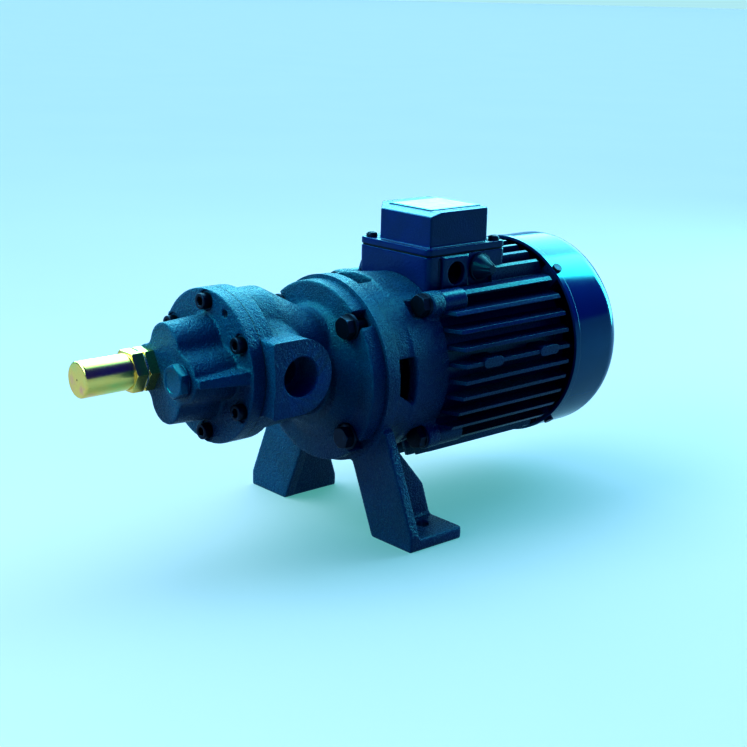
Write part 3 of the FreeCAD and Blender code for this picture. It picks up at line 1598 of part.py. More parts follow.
def make_box_gasket():
    outer = rounded_box(box_start_x + box_gasket_inset, box_end_x - box_gasket_inset,
                        -box_half_width + box_gasket_inset, box_half_width - box_gasket_inset,
                        box_base_top, lid_bottom_z, box_corner_r)
    inner = block(box_start_x + box_wall, box_end_x - box_wall, -box_half_width + box_wall, box_half_width - box_wall,
                  box_base_top, lid_bottom_z)
    posts = []
    holes = []
    for x, y in lid_screw_places():
        posts.append(z_cylinder(lid_screw_inset, box_base_top, lid_bottom_z, x, y).common(outer))
        holes.append(z_cylinder(lid_screw_r + screw_hole_play, box_base_top, lid_bottom_z, x, y))
    return cut_all(fused([outer.cut(inner)] + posts), holes)


def lid_tower(x0, x1, half_width, z0, z1, cut):
    """The raised part of the lid: a block with two opposite corners cut off for the lid screws."""
    points = [
        Vector(x0, -half_width, z0),
        Vector(x1 - cut, -half_width, z0),
        Vector(x1, -half_width + cut, z0),
        Vector(x1, half_width, z0),
        Vector(x0 + cut, half_width, z0),
        Vector(x0, half_width - cut, z0),
    ]
    return prism(points, Vector(0, 0, z1 - z0))


def lid_bevels(x0, x1, half_width):
    """Wedges that slope the lid's top down to its front and back walls."""
    reach = half_width + overlap
    wedges = []
    for edge_x, inward in ((x0, 1.0), (x1, -1.0)):
        points = [
            Vector(edge_x - inward * overlap, -reach, lid_top - lid_bevel_drop),
            Vector(edge_x, -reach, lid_top - lid_bevel_drop),
            Vector(edge_x + inward * lid_bevel_length, -reach, lid_top),
            Vector(edge_x + inward * lid_bevel_length, -reach, lid_top + overlap),
            Vector(edge_x - inward * overlap, -reach, lid_top + overlap),
        ]
        wedges.append(prism(points, Vector(0, 2.0 * reach, 0)))
    return wedges


def make_box_lid():
    flange = rounded_box(box_start_x, box_end_x, -box_half_width, box_half_width, lid_bottom_z, lid_flange_top, box_corner_r)
    x0 = box_start_x + lid_inset
    x1 = box_end_x - lid_far_inset
    half_width = box_half_width - lid_tower_step
    tower = lid_tower(x0, x1, half_width, lid_bottom_z, lid_top, lid_corner_cut)
    tower = cut_all(tower, lid_bevels(x0, x1, half_width))
    room = lid_tower(x0 + lid_wall, x1 - lid_wall, half_width - lid_wall, lid_bottom_z, lid_top - lid_ceiling, lid_corner_cut)
    holes = [room]
    for x, y in lid_screw_places():
        holes.append(z_cylinder(lid_screw_r + screw_hole_play, lid_bottom_z, lid_flange_top, x, y))
    return cut_all(fused([flange, tower]), holes)


def domed_head(x, y):
    head_top = lid_flange_top + lid_screw_head_h
    head = z_cylinder(lid_screw_head_r, lid_flange_top, head_top, x, y)
    rim = [edge for edge in head.Edges if edge.BoundBox.ZMin > head_top - edge_reach]
    return head.makeFillet(lid_screw_dome, rim)


def make_lid_screws():
    screws = []
    for x, y in lid_screw_places():
        shank = z_cylinder(lid_screw_r, box_base_top + lid_flange_t - lid_screw_length, lid_flange_top, x, y)
        head_top = lid_flange_top + lid_screw_head_h
        slot = block(x - lid_screw_head_r, x + lid_screw_head_r, y - lid_screw_slot_w / 2.0, y + lid_screw_slot_w / 2.0,
                     head_top - lid_screw_slot_d, head_top)
        screws.append(fused([domed_head(x, y), shank]).cut(slot))
    return Part.makeCompound(screws)


def make_entry_plug():
    """The fluted cone that closes the second cable entry."""
    x = box_start_x + cone_x
    outward = Vector(0, -1, 0)
    face_y = -box_half_width
    flange = Part.makeCylinder(cone_base_r, cone_flange_t, Vector(x, face_y, cone_z), outward)
    cone = Part.makeCone(cone_base_r - cone_step, cone_tip_r, cone_height, Vector(x, face_y - cone_flange_t, cone_z), outward)
    shank = Part.makeCylinder(cone_shank_r, box_wall, Vector(x, face_y, cone_z), Vector(0, 1, 0))
    flutes = []
    for i in range(cone_flute_count):
        start = Vector(x, face_y - cone_flange_t - overlap, cone_z + cone_base_r + cone_flute_out)
        slope = Vector(0, -cone_height, cone_tip_r - cone_base_r)
        groove = Part.makeCylinder(cone_flute_r, 2.0 * cone_height, start, slope)
        groove.rotate(Vector(x, 0, cone_z), Vector(0, 1, 0), 360.0 * i / cone_flute_count)
        flutes.append(groove)
    return fused([flange, cut_all(cone, flutes), shank])


def stud_places():
    places = []
    x = box_start_x + board_offset + board_length / 2.0
    for i in (-0.5, 0.5):
        for j in (-1.0, 0.0, 1.0):
            places.append((x + i * stud_spacing_x, j * stud_spacing_y))
    return places


def make_terminal_board():
    x0 = box_start_x + board_offset
    z1 = board_seat_z + board_t
    board = block(x0, x0 + board_length, -board_width / 2.0, board_width / 2.0, board_seat_z, z1)
    return cut_all(board, [z_cylinder(stud_r, board_seat_z, z1, x, y) for x, y in stud_places()])


def make_terminal_studs():
    z0 = board_seat_z
    studs = []
    for x, y in stud_places():
        stud = z_cylinder(stud_r, z0, z0 + board_t + stud_height, x, y)
        corner_r = stud_nut_af / math.sqrt(3.0)
        corners = []
        for i in range(6):
            angle = math.radians(60.0 * i)
            corners.append(Vector(x + corner_r * math.cos(angle), y + corner_r * math.sin(angle), z0 + board_t))
        nut = prism(corners, Vector(0, 0, stud_nut_t))
        studs.append(fused([stud, nut]))
    return Part.makeCompound(studs)


def make_lid_label():
    x = (box_start_x + lid_inset + box_end_x - lid_far_inset) / 2.0
    return block(x - label_length / 2.0, x + label_length / 2.0, -label_width / 2.0, label_width / 2.0, lid_top, lid_top + label_t)


os.makedirs("parts", exist_ok=True)
pieces = {
    "pump_body": make_pump_body,
    "pump_cover": make_pump_cover,
    "cover_gasket": make_cover_gasket,
    "cover_screws": make_cover_screws,
    "cover_dowels": make_cover_dowels,
    "drive_gear": make_drive_gear,
    "driven_gear": make_driven_gear,
    "pump_drive_shaft": make_drive_shaft,
    "driven_shaft": make_driven_shaft,
    "drive_keys": make_drive_keys,
    "shaft_seal": make_shaft_seal,
    "valve_seat": make_valve_seat,
    "valve_poppet": make_valve_poppet,
    "valve_spring": make_valve_spring,
    "valve_adjuster": make_valve_adjuster,
    "valve_bonnet": make_valve_bonnet,
    "adjuster_nut": make_adjuster_nut,
    "cap_washer": make_cap_washer,
    "valve_cap": make_valve_cap,
    "side_plug": make_side_plug,
    "plug_washer": make_plug_washer,
    "flange_bolts": make_flange_bolts,
    "flange_washers": make_flange_washers,
    "bracket": make_bracket,
    "motor_bolts": make_motor_bolts,
    "motor_washers": make_motor_washers,
    "pump_coupling_half": make_pump_coupling_half,
    "motor_coupling_half": make_motor_coupling_half,
    "coupling_spider": make_coupling_spider,
    "motor_shaft": make_motor_shaft,
    "rotor_core": make_rotor_core,
    "stator_core": make_stator_core,
    "stator_windings": make_stator_windings,
    "bearing_outer_rings": make_bearing_outer_rings,
    "bearing_inner_rings": make_bearing_inner_rings,
    "bearing_balls": make_bearing_balls,
    "front_shield": make_front_shield,
    "motor_housing": make_motor_housing,
    "rear_shield": make_rear_shield,
    "shield_screws": make_shield_screws,
    "wave_washer": make_wave_washer,
    "fan": make_fan,
    "fan_clip": make_fan_clip,
    "fan_cowl": make_fan_cowl,
    "cowl_screws": make_cowl_screws,
    "terminal_box": make_terminal_box,
    "box_gasket": make_box_gasket,
    "box_lid": make_box_lid,
    "lid_screws": make_lid_screws,
    "entry_plug": make_entry_plug,
    "terminal_board": make_terminal_board,
    "terminal_studs": make_terminal_studs,
    "lid_label": make_lid_label,
}
for name, make in pieces.items():
    export(make(), name)
export(make_bushes(cover_back_x - bush_length), "cover_bushes")
export(make_bushes(chamber_end_x), "body_bushes")
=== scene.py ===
"""Gear pump and motor unit: cast, turned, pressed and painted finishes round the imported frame."""

import json
import math

import bmesh
import bpy
from mathutils import Matrix, Vector


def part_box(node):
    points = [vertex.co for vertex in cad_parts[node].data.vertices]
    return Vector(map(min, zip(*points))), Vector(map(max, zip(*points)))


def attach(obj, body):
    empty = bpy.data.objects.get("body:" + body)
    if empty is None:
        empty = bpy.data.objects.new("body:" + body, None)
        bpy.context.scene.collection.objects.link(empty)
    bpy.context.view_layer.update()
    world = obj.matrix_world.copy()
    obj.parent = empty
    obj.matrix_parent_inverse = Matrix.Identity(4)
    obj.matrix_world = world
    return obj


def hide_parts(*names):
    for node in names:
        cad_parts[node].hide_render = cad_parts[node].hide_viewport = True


bl_info = {
    "name": "Gear Pump Unit",
    "version": (1, 0, 0),
    "blender": (4, 5, 0),
    "location": "View3D > Sidebar > Gear Pump",
    "description": "Dresses the gear pump and its motor, and lights them in a pale studio",
    "category": "Object",
}

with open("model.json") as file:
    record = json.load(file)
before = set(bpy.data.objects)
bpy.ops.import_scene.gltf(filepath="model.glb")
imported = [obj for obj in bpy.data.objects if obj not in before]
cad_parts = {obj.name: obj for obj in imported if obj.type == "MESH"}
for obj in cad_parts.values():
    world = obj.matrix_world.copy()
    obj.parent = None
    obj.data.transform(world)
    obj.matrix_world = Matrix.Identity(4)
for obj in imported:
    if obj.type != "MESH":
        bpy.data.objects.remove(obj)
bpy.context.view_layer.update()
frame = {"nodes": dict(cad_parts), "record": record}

MM = 0.001

# Machined sizes, in metres
PORT_FACE_Y = 55.4 * MM
PORT_PAD_R = 23.5 * MM
PORT_R = 12.3 * MM
PORT_CHAMFER = 1.0 * MM
PORT_THREAD = 17.0 * MM
PORT_PITCH = 1.814 * MM
PORT_RIDGE = 0.7 * MM
PORT_PASSAGE_R = 9.0 * MM
PAD_FACE_END = 14.0 * MM
CHAMBER_PLAY = 0.3 * MM
GEAR_END_PLAY = 0.1 * MM
BUSH_R = 10.03 * MM
BUSH_LENGTH = 16.0 * MM
SEAL_R = 14.0 * MM
SEAL_DEPTH = 8.0 * MM
SHAFT_HOLE_R = 8.3 * MM
FLANGE_R = 59.6 * MM
FLANGE_T = 11.0 * MM
SPIGOT_R = 39.7 * MM
FACING_CUT = 20.0 * MM
FLANGE_BOLT_CIRCLE_R = 51.2 * MM
BOLT_R = 4.0 * MM
FLANGE_BOLT_DEPTH = 9.0 * MM
FLANGE_SLOT = 12.0 * MM
FLANGE_SPOT_R = 9.1 * MM
FLANGE_SPOT_REACH = 10.0 * MM
COVER_SCREW_CIRCLE_R = 41.2 * MM
COVER_SCREW_R = 3.0 * MM
COVER_SCREW_HOLE_R = 3.3 * MM
COVER_SCREW_HEAD = 6.0 * MM
COVER_SCREW_DEPTH = 8.5 * MM
COVER_SPOT_R = 6.6 * MM
COVER_SPOT_DEPTH = 1.4 * MM
COVER_T = 9.0 * MM
DOWEL_R = 2.5 * MM
DOWEL_DEPTH = 7.0 * MM
VALVE_BORE_R = 6.5 * MM
VALVE_BORE_END = 9.0 * MM
BONNET_THREAD_R = 8.5 * MM
BONNET_THREAD = 7.0 * MM
VALVE_PASSAGE_R = 4.0 * MM
VALVE_PASSAGE = 10.0 * MM
PLUG_THREAD_R = 6.5 * MM
PLUG_THREAD = 10.0 * MM
BRACKET_FACE_R = 62.0 * MM
BRACKET_FACE_T = 10.4 * MM
BRACKET_REAR_R = 58.2 * MM
BRACKET_BORE_R = 53.0 * MM
BRACKET_SPIGOT_R = 40.0 * MM
EAR_CIRCLE_R = 63.5 * MM
EAR_T = 11.0 * MM
EAR_HOLE_R = 4.3 * MM
EAR_POCKET_R = 8.3 * MM
EAR_POCKET = 12.0 * MM
FOOT_HOLE_R = 4.6 * MM
FOOT_HOLE_Y = 63.0 * MM
FOOT_DRILL = 12.0 * MM
MOTOR_SPIGOT = 3.0 * MM
ENTRY_R = 7.6 * MM
ENTRY_DEPTH = 6.0 * MM
ENTRY_FROM_FACE = 25.5 * MM
ENTRY_OVER_SHAFT = 60.2 * MM

# Places read from the frame
COVER_LOW, COVER_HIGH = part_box("pump_cover")
BODY_LOW, BODY_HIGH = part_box("pump_body")
BRACKET_LOW, BRACKET_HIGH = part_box("bracket")
GEAR_LOW, GEAR_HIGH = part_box("drive_gear")
DRIVEN_LOW, DRIVEN_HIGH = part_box("driven_gear")
PLUG_LOW, PLUG_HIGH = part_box("side_plug")
BOX_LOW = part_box("terminal_box")[0]
SHAFT_Z = (GEAR_LOW.z + GEAR_HIGH.z) / 2
DRIVEN_Z = (DRIVEN_LOW.z + DRIVEN_HIGH.z) / 2
PUMP_Z = (COVER_LOW.z + COVER_HIGH.z) / 2
RING_R = (COVER_HIGH.z - COVER_LOW.z) / 2
PLUG_Y = (PLUG_LOW.y + PLUG_HIGH.y) / 2
VALVE_Y = -PLUG_Y
PUMP_FACE_X = BRACKET_LOW.x
MOTOR_FACE_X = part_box("front_shield")[0].x + MOTOR_SPIGOT
node_slots = {entry["node"]: entry["material_slot"] for entry in frame["record"]["subparts"]}
node_bodies = {node: body for body, nodes in frame["record"]["behaviour"]["bodies"].items() for node in nodes}

# How meshes are made: metal left on for machining, how far cutters pass a face, and gaps between cuts
STOCK = 2.0 * MM
OVERCUT = 0.5 * MM
CUT_GAP = 0.1 * MM
HAIR = 0.01 * MM
SAME_PLACE = 0.001 * MM
ROUND_SIDES = 96
HEXAGON_SIDES = 120
ROUND_STEPS = 12
SHARP_EDGE = math.radians(32)
BOTH_SIDES = (-1.0, 1.0)

# Lights: the key shines one way all over the floor; a softbox has its size, its place and its aim
KEY_WAY = Vector((0.68, -0.70, -1.20))
KEY_SPREAD = math.radians(36.0)
LEFT_BOX = ((1.0, 0.7), (-1.15, 0.25, 0.85), (-0.08, 0.0, 0.12))
RIM_BOX = ((0.5, 1.2), (1.25, -0.1, 0.6), (0.15, 0.0, 0.12))
WINDOW_WAY = Vector((0.48, 0.66, 0.56)).normalized()
WINDOW_EDGES = (0.45, 0.90)
DOWN = Vector((0.0, 0.0, -1.0))
DOWN_EDGES = (0.0, 0.45)
FLOOR_GLOW = (0.33, 1.0, 0.90, 1.0)
FLOOR_GLOW_STRENGTH = 0.49
BLACK = (0.0, 0.0, 0.0, 1.0)


# Settings that a user would change

def colour_setting(name, description, default):
    return bpy.props.FloatVectorProperty(
        name=name, description=description, subtype="COLOR", size=3, min=0.0, max=1.0, default=default)


def length_setting(name, description, default):
    return bpy.props.FloatProperty(
        name=name, description=description, unit="LENGTH", subtype="DISTANCE", min=0.0, precision=5,
        default=default)


def amount_setting(name, description, default, unit="NONE"):
    return bpy.props.FloatProperty(name=name, description=description, unit=unit, min=0.0, default=default)


def passes_setting(name, description, default):
    return bpy.props.IntProperty(name=name, description=description, min=0, max=40, default=default)


class PumpColours(bpy.types.PropertyGroup):
    """Colours of the paints and platings."""
    cast_paint: colour_setting("Cast paint", "Enamel on the castings and bracket", (0.0008, 0.067, 0.150))
    motor_paint: colour_setting("Motor paint", "Enamel on the motor's die castings", (0.0008, 0.026, 0.110))
    cowl_paint: colour_setting("Cowl paint", "Glossy enamel on the pressed fan cowl", (0.0008, 0.034, 0.150))
    box_paint: colour_setting("Box paint", "Satin enamel on the terminal box", (0.0008, 0.012, 0.115))
    zinc: colour_setting("Zinc plating", "Yellow zinc on the valve cap and its hexagons", (0.76, 0.60, 0.23))
    oxide: colour_setting("Black oxide", "Blackened screws and bolts", (0.004, 0.024, 0.055))
    sheen: colour_setting("Enamel sheen", "Tint of what the enamels reflect", (0.02, 0.92, 0.90))


class PumpSizes(bpy.types.PropertyGroup):
    """Sizes of the cast skin and of the small rounded edges."""
    casting_grain: length_setting("Casting grain", "Edge of the cells of a casting's skin", 0.9 * MM)
    cover_grain: length_setting("Cover grain", "Edge of the cells of the pump cover's skin", 0.7 * MM)
    box_grain: length_setting("Box grain", "Edge of the cells of the terminal box and its lid", 0.7 * MM)
    edge_round: length_setting("Edge rounding", "Rounding seen on machined and pressed edges", 0.5 * MM)
    screw_round: length_setting("Screw rounding", "Rounding of the cover screws' heads", 0.7 * MM)
    knurl_depth: length_setting("Knurl depth", "Depth of the grip lines on the cover screws", 0.12 * MM)
    cast_rounds: passes_setting("Cast smoothing", "Passes that round a casting's edges", 8)
    box_rounds: passes_setting("Box smoothing", "Passes that round the terminal box's edges", 4)


class StageSettings(bpy.types.PropertyGroup):
    """Light, floor and camera."""
    key_colour: colour_setting("Key light", "Colour of the light at the upper left", (0.52, 1.0, 0.80))
    rim_colour: colour_setting("Rim light", "Colour of the light behind the motor", (0.25, 1.0, 0.95))
    room_colour: colour_setting("Bright room", "Light from above and behind", (0.46, 0.97, 1.0))
    dark_colour: colour_setting("Dark room", "Dim light from the camera's side", (0.005, 0.003, 0.105))
    bounce_colour: colour_setting("Floor light", "Light that the floor throws back", (0.022, 0.040, 0.095))
    backdrop_colour: colour_setting("Backdrop", "Colour of the far backdrop", (0.60, 0.92, 0.97))
    floor_colour: colour_setting("Floor", "Colour of the pale sweep", (0.32, 0.165, 0.24))
    key_strength: amount_setting("Key strength", "Strength of the light at the upper left", 2.9)
    rim_power: amount_setting("Rim power", "Power of the light behind the motor", 22.0, "POWER")
    soft_power: amount_setting("Softbox power", "Power of the softbox at the left", 18.0, "POWER")
    room_strength: amount_setting("Room strength", "Strength of the light from above and behind", 5.8)
    contrast: bpy.props.FloatProperty(
        name="Print gamma", description="Gamma of the picture; under 1 deepens its shadows", min=0.2, max=2.0,
        default=0.66)


class PumpUnit(bpy.types.PropertyGroup):
    """All the settings of the gear pump unit."""
    colours: bpy.props.PointerProperty(type=PumpColours, name="Colours", description="Paints and platings")
    sizes: bpy.props.PointerProperty(type=PumpSizes, name="Sizes", description="Skin and edge sizes")
    stage: bpy.props.PointerProperty(type=StageSettings, name="Stage", description="Light and floor")


def unit():
    return bpy.context.scene.pump_unit


# Shader nodes

class Field:
    """A value that varies over a surface; arithmetic on it adds Math nodes to its tree."""

    def __init__(self, maker, socket):
        self.maker = maker
        self.socket = socket

    def math(self, operation, first, second=0.0):
        return self.maker.node("ShaderNodeMath", {"operation": operation}, {0: first, 1: second})

    def __add__(self, other):
        return self.math("ADD", self, other)

    __radd__ = __add__

    def __sub__(self, other):
        return self.math("SUBTRACT", self, other)

    def __rsub__(self, other):
        return self.math("SUBTRACT", other, self)

    def __mul__(self, other):
        return self.math("MULTIPLY", self, other)

    __rmul__ = __mul__

    def __pow__(self, other):
        return self.math("POWER", self, other)

    def sine(self):
        return self.math("SINE", self)

    def wave(self, pitch):
        """A wave from -1 to 1 along a length, repeating every pitch metres."""
        return (self * (math.tau / pitch)).sine()

    def below(self, limit):
        return self.math("LESS_THAN", self, limit)

    def around(self, middle, spread):
        """Noise from 0 to 1 turned into a value that wanders about middle."""
        return (self - 0.5) * spread + middle

    def between(self, low, high):
        """0 at low, 1 at high, with a smooth turn between."""
        return self.maker.node("ShaderNodeMapRange", {"interpolation_type": "SMOOTHSTEP"},
                               {0: self, 1: low, 2: high, 3: 0.0, 4: 1.0})


class NodeMaker:
    """Adds nodes to a tree and links them."""

    def __init__(self, tree):
        self.tree = tree

    def node(self, kind, settings=None, sockets=None, output=0):
        """Any node, from its type, its settings and the values or links of its sockets."""
        made = self.tree.nodes.new(kind)
        for key, value in (settings or {}).items():
            if key == "stops":
                self.set_stops(made.color_ramp, value)
            else:
                setattr(made, key, value)
        for key, value in (sockets or {}).items():
            self.feed(made.inputs[key], value)
        return Field(self, made.outputs[output])

    def set_stops(self, ramp, stops):
        while len(ramp.elements) < len(stops):
            ramp.elements.new(1.0)
        for element, (place, colour) in zip(ramp.elements, stops):
            element.position = place
            element.color = (*colour, 1.0)

    def feed(self, socket, value):
        if isinstance(value, Field):
            self.tree.links.new(value.socket, socket)
        else:
            socket.default_value = value

    def mix(self, factor, first, second):
        """A colour between two colours."""
        first = first if isinstance(first, Field) else (*first, 1.0)
        second = second if isinstance(second, Field) else (*second, 1.0)
        return self.node("ShaderNodeMix", {"data_type": "RGBA"}, {0: factor, 6: first, 7: second}, 2)


class Finish(NodeMaker):
    """A material and the nodes that make it up."""

    def __init__(self, name):
        self.material = bpy.data.materials.new(name)
        self.material.use_nodes = True
        super().__init__(self.material.node_tree)
        self.shader = self.tree.nodes["Principled BSDF"]

    def surface(self, **values):
        """Sets the shader's sockets by name, with spaces written as underscores."""
        for key, value in values.items():
            self.feed(self.shader.inputs[key.replace("_", " ")], value)
        return self.material

    def enamelled(self, colour, roughness, gloss, relief, depth, rounding=1.0):
        """Paint with the unit's sheen over a relief that is depth metres high."""
        return self.surface(
            Base_Color=colour,
            Roughness=roughness,
            Specular_IOR_Level=gloss,
            Specular_Tint=(*unit().colours.sheen, 1.0),
            Normal=self.bumped(relief, depth, rounding))

    def place(self):
        """Where a point is on the object, in metres, wherever the object has moved to."""
        return self.node("ShaderNodeTexCoord", output="Object")

    def axis(self, name):
        return self.node("ShaderNodeSeparateXYZ", {}, {0: self.place()}, "XYZ".index(name))

    def radius(self, y, z):
        """How far a point is from a line along X."""
        off_y = self.axis("Y") - y
        off_z = self.axis("Z") - z
        return (off_y * off_y + off_z * off_z) ** 0.5

    def within(self, name, centre, reach):
        """1 within reach of centre along one axis, 0 beyond it."""
        away = self.axis(name) - centre
        return (away * away).below(reach * reach)

    def noise(self, size, detail=2.0, roughness=0.5, stretch=(1.0, 1.0, 1.0)):
        """Noise whose lumps are about size metres across, from 0 to 1."""
        scaled_place = self.node(
            "ShaderNodeVectorMath", {"operation": "MULTIPLY"}, {0: self.place(), 1: stretch})
        return self.node("ShaderNodeTexNoise", {}, {
            "Vector": scaled_place, "Scale": 1.0 / size, "Detail": detail, "Roughness": roughness})

    def mottled(self, colour, dark, light, size):
        """A colour in soft patches of two of its shades."""
        patches = self.noise(size).between(0.3, 0.7)
        return self.mix(patches, scaled(colour, dark), scaled(colour, light))

    def rubs(self, size, full):
        """Scattered worn patches, 1 where the noise passes full."""
        return self.noise(size, 3.0).between(0.55, full)

    def edge_wear_and_highlight(self):
        """1 on sharp outer edges, 0 on flat and hollow places; it lightens paint there, as thin worn paint
        and as a painted highlight.
        """
        return self.node("ShaderNodeNewGeometry", output="Pointiness").between(0.53, 0.62)

    def bumped(self, height, depth, rounding=0.0):
        """The normal of a relief depth metres high, with edges rounded by a share of the edge rounding."""
        sockets = {"Height": height, "Distance": depth, "Strength": 1.0}
        if rounding:
            radius = unit().sizes.edge_round * rounding
            sockets["Normal"] = self.node("ShaderNodeBevel", {"samples": 6}, {"Radius": radius})
        return self.node("ShaderNodeBump", {}, sockets)


def scaled(colour, factor):
    return tuple(min(1.0, channel * factor) for channel in colour)


# Finishes

def cast_enamel(name):
    """Thick enamel over a sand casting: fine sand grain, shallow orange peel, thin on edges and lighter
    there, as wear and as a painted highlight.
    """
    paint = unit().colours.cast_paint
    finish = Finish(name)
    sand = finish.noise(1.1 * MM, 3.0, 0.6)
    peel = finish.noise(3.4 * MM, 1.0)
    colour = finish.mottled(paint, 0.86, 1.12, 22 * MM)
    # Lighter paint on sharp edges: partly thin worn paint, partly a painted highlight
    colour = finish.mix(finish.edge_wear_and_highlight() * 0.45, colour, scaled(paint, 2.0))
    return finish.enamelled(colour, sand.around(0.27, 0.16), 0.5, sand * 0.8 + peel * 0.5, 1.15 * MM, 0.0)


def motor_enamel(name):
    """Enamel over aluminium die castings, smoother than the sand castings and drawn out along the shaft."""
    paint = unit().colours.motor_paint
    finish = Finish(name)
    grain = finish.noise(1.2 * MM)
    flow = finish.noise(14 * MM, 2.0, 0.5, (0.35, 1.0, 1.0)).between(0.3, 0.75)
    colour = finish.mix(flow, scaled(paint, 0.8), scaled(paint, 1.2))
    return finish.enamelled(colour, grain.around(0.28, 0.14), 0.55, grain, 0.14 * MM)


def cowl_enamel(name):
    """Glossy enamel on pressed sheet: a slow ripple from the press and a faint orange peel."""
    finish = Finish(name)
    ripple = finish.noise(30 * MM, 1.0, 0.4, (0.3, 1.0, 1.0))
    peel = finish.noise(2.2 * MM, 1.0)
    colour = finish.mottled(unit().colours.cowl_paint, 0.9, 1.1, 45 * MM)
    return finish.enamelled(colour, peel.around(0.15, 0.06), 0.9, ripple * 0.8 + peel * 0.12, 0.12 * MM)


def box_enamel(name):
    """Satin enamel on the terminal box, with a finely pebbled surface."""
    paint = unit().colours.box_paint
    finish = Finish(name)
    pebble = finish.noise(1.3 * MM, 2.0, 0.55)
    colour = finish.mottled(paint, 0.88, 1.12, 18 * MM)
    # Lighter paint on sharp edges: partly thin worn paint, partly a painted highlight
    colour = finish.mix(finish.edge_wear_and_highlight() * 0.35, colour, scaled(paint, 1.8))
    return finish.enamelled(colour, pebble.around(0.24, 0.12), 0.55, pebble, 0.26 * MM)


def screw_enamel(name):
    """Enamel over a steel hexagon, worn thin where a spanner has been."""
    paint = unit().colours.cast_paint
    finish = Finish(name)
    peel = finish.noise(2.0 * MM)
    colour = finish.mix(finish.rubs(3.0 * MM, 0.75) * 0.35, scaled(paint, 0.9), scaled(paint, 1.7))
    return finish.enamelled(colour, peel.around(0.28, 0.12), 0.75, peel, 0.16 * MM)


def black_oxide(name):
    """Oiled black oxide on steel, with brighter rubbed patches."""
    oxide = unit().colours.oxide
    finish = Finish(name)
    rub = finish.rubs(2.5 * MM, 0.8)
    return finish.surface(
        Base_Color=finish.mix(rub * 0.5, oxide, scaled(oxide, 4.0)),
        Metallic=0.75,
        Roughness=0.38 - 0.12 * rub,
        Normal=finish.bumped(finish.noise(0.5 * MM), 0.03 * MM, 0.6))


def yellow_zinc(name):
    """Yellow zinc over turned steel: green and rose tints that wander, fine tool rings and a centre mark."""
    red, green, blue = unit().colours.zinc
    finish = Finish(name)
    tint = finish.noise(11 * MM, 3.0, 0.5, (0.5, 1.0, 1.0))
    colour = finish.node("ShaderNodeValToRGB", {"stops": (
        (0.30, (red * 0.80, green * 1.04, blue * 1.10)),
        (0.46, (red, green, blue)),
        (0.58, (red * 1.08, green * 0.98, blue * 0.90)),
        (0.72, (red * 1.06, green * 0.74, blue * 1.25)))}, {0: tint})
    smear = finish.noise(2.0 * MM, 3.0, 0.6, (3.0, 1.0, 1.0))
    radius = finish.radius(VALVE_Y, PUMP_Z)
    rings = radius.wave(0.55 * MM) + finish.axis("X").wave(0.7 * MM)
    centre_mark = radius.below(0.7 * MM) * 0.7
    return finish.surface(
        Base_Color=finish.mix(centre_mark, colour, (0.12, 0.09, 0.04)),
        Metallic=1.0,
        Roughness=smear.around(0.24, 0.14),
        Normal=finish.bumped(rings * 0.25 + smear * 0.6, 0.012 * MM, 1.0))


def metal(name, colour, roughness, mark_size, mark_depth, streak=(1.0, 1.0, 1.0), dark=0.75):
    """Bare metal with fine tool marks and a slight change of tone."""
    finish = Finish(name)
    marks = finish.noise(mark_size, 3.0, 0.6, streak)
    return finish.surface(
        Base_Color=finish.mottled(colour, dark, 1.0, 9 * MM),
        Metallic=1.0,
        Roughness=marks.around(roughness, 0.16),
        Normal=finish.bumped(marks, mark_depth, 0.5))


def copper_windings(name):
    """Enamelled copper turns, laid side by side round the stator's ends and bound with cord, with painted
    shade in the grooves between turns.
    """
    finish = Finish(name)
    across = finish.radius(0.0, SHAFT_Z) * (math.tau / (1.1 * MM))
    along = finish.axis("X") * (math.tau / (1.8 * MM))
    turns = (across + along + finish.noise(6 * MM) * 3.0).sine()
    # Painted shade: the colour darkens in the grooves between turns, and they are rougher there
    painted_groove_shade = turns.between(-1.0, 0.6)
    return finish.surface(
        Base_Color=finish.mix(painted_groove_shade, (0.16, 0.045, 0.012), (0.62, 0.24, 0.08)),
        Metallic=0.7,
        Roughness=0.42 - 0.12 * painted_groove_shade,
        Coat_Weight=0.4,
        Coat_Roughness=0.2,
        Normal=finish.bumped(turns, 0.25 * MM))


def stacked_sheet(name):
    """Steel sheets stacked along the shaft, half a millimetre each, with a little rust."""
    finish = Finish(name)
    rust = finish.rubs(8 * MM, 0.85)
    return finish.surface(
        Base_Color=finish.mix(rust * 0.4, (0.16, 0.16, 0.17), (0.10, 0.05, 0.03)),
        Metallic=0.8,
        Roughness=0.46 + 0.1 * rust,
        Normal=finish.bumped(finish.axis("X").wave(0.5 * MM), 0.05 * MM))


def moulded(name, colour, roughness, pebble_size, pebble_depth):
    """Rubber, plastic or pressed sheet with a pebbled surface."""
    finish = Finish(name)
    pebble = finish.noise(pebble_size, 3.0, 0.6)
    colour = finish.mottled(colour, 0.8, 1.2, 12 * MM)
    return finish.enamelled(colour, pebble.around(roughness, 0.14), 0.5, pebble, pebble_depth)


def blank_foil(name):
    """The blank plate on the lid: satin foil, lighter inside a plain border."""
    finish = Finish(name)
    low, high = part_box("lid_label")
    centre = (low + high) / 2
    border = 2.2 * MM
    inside_x = finish.within("X", centre.x, (high.x - low.x) / 2 - border)
    inside_y = finish.within("Y", centre.y, (high.y - low.y) / 2 - border)
    brush = finish.noise(0.8 * MM, 3.0, 0.6, (0.05, 1.0, 1.0))
    mottle = finish.noise(5 * MM, 3.0).between(0.35, 0.7)
    face = finish.mix(mottle, (0.30, 0.66, 0.62), (0.42, 0.80, 0.74))
    return finish.surface(
        Base_Color=finish.mix(inside_x * inside_y, (0.10, 0.42, 0.48), face),
        Metallic=0.15,
        Roughness=brush.around(0.36, 0.16),
        Normal=finish.bumped(brush, 0.02 * MM))


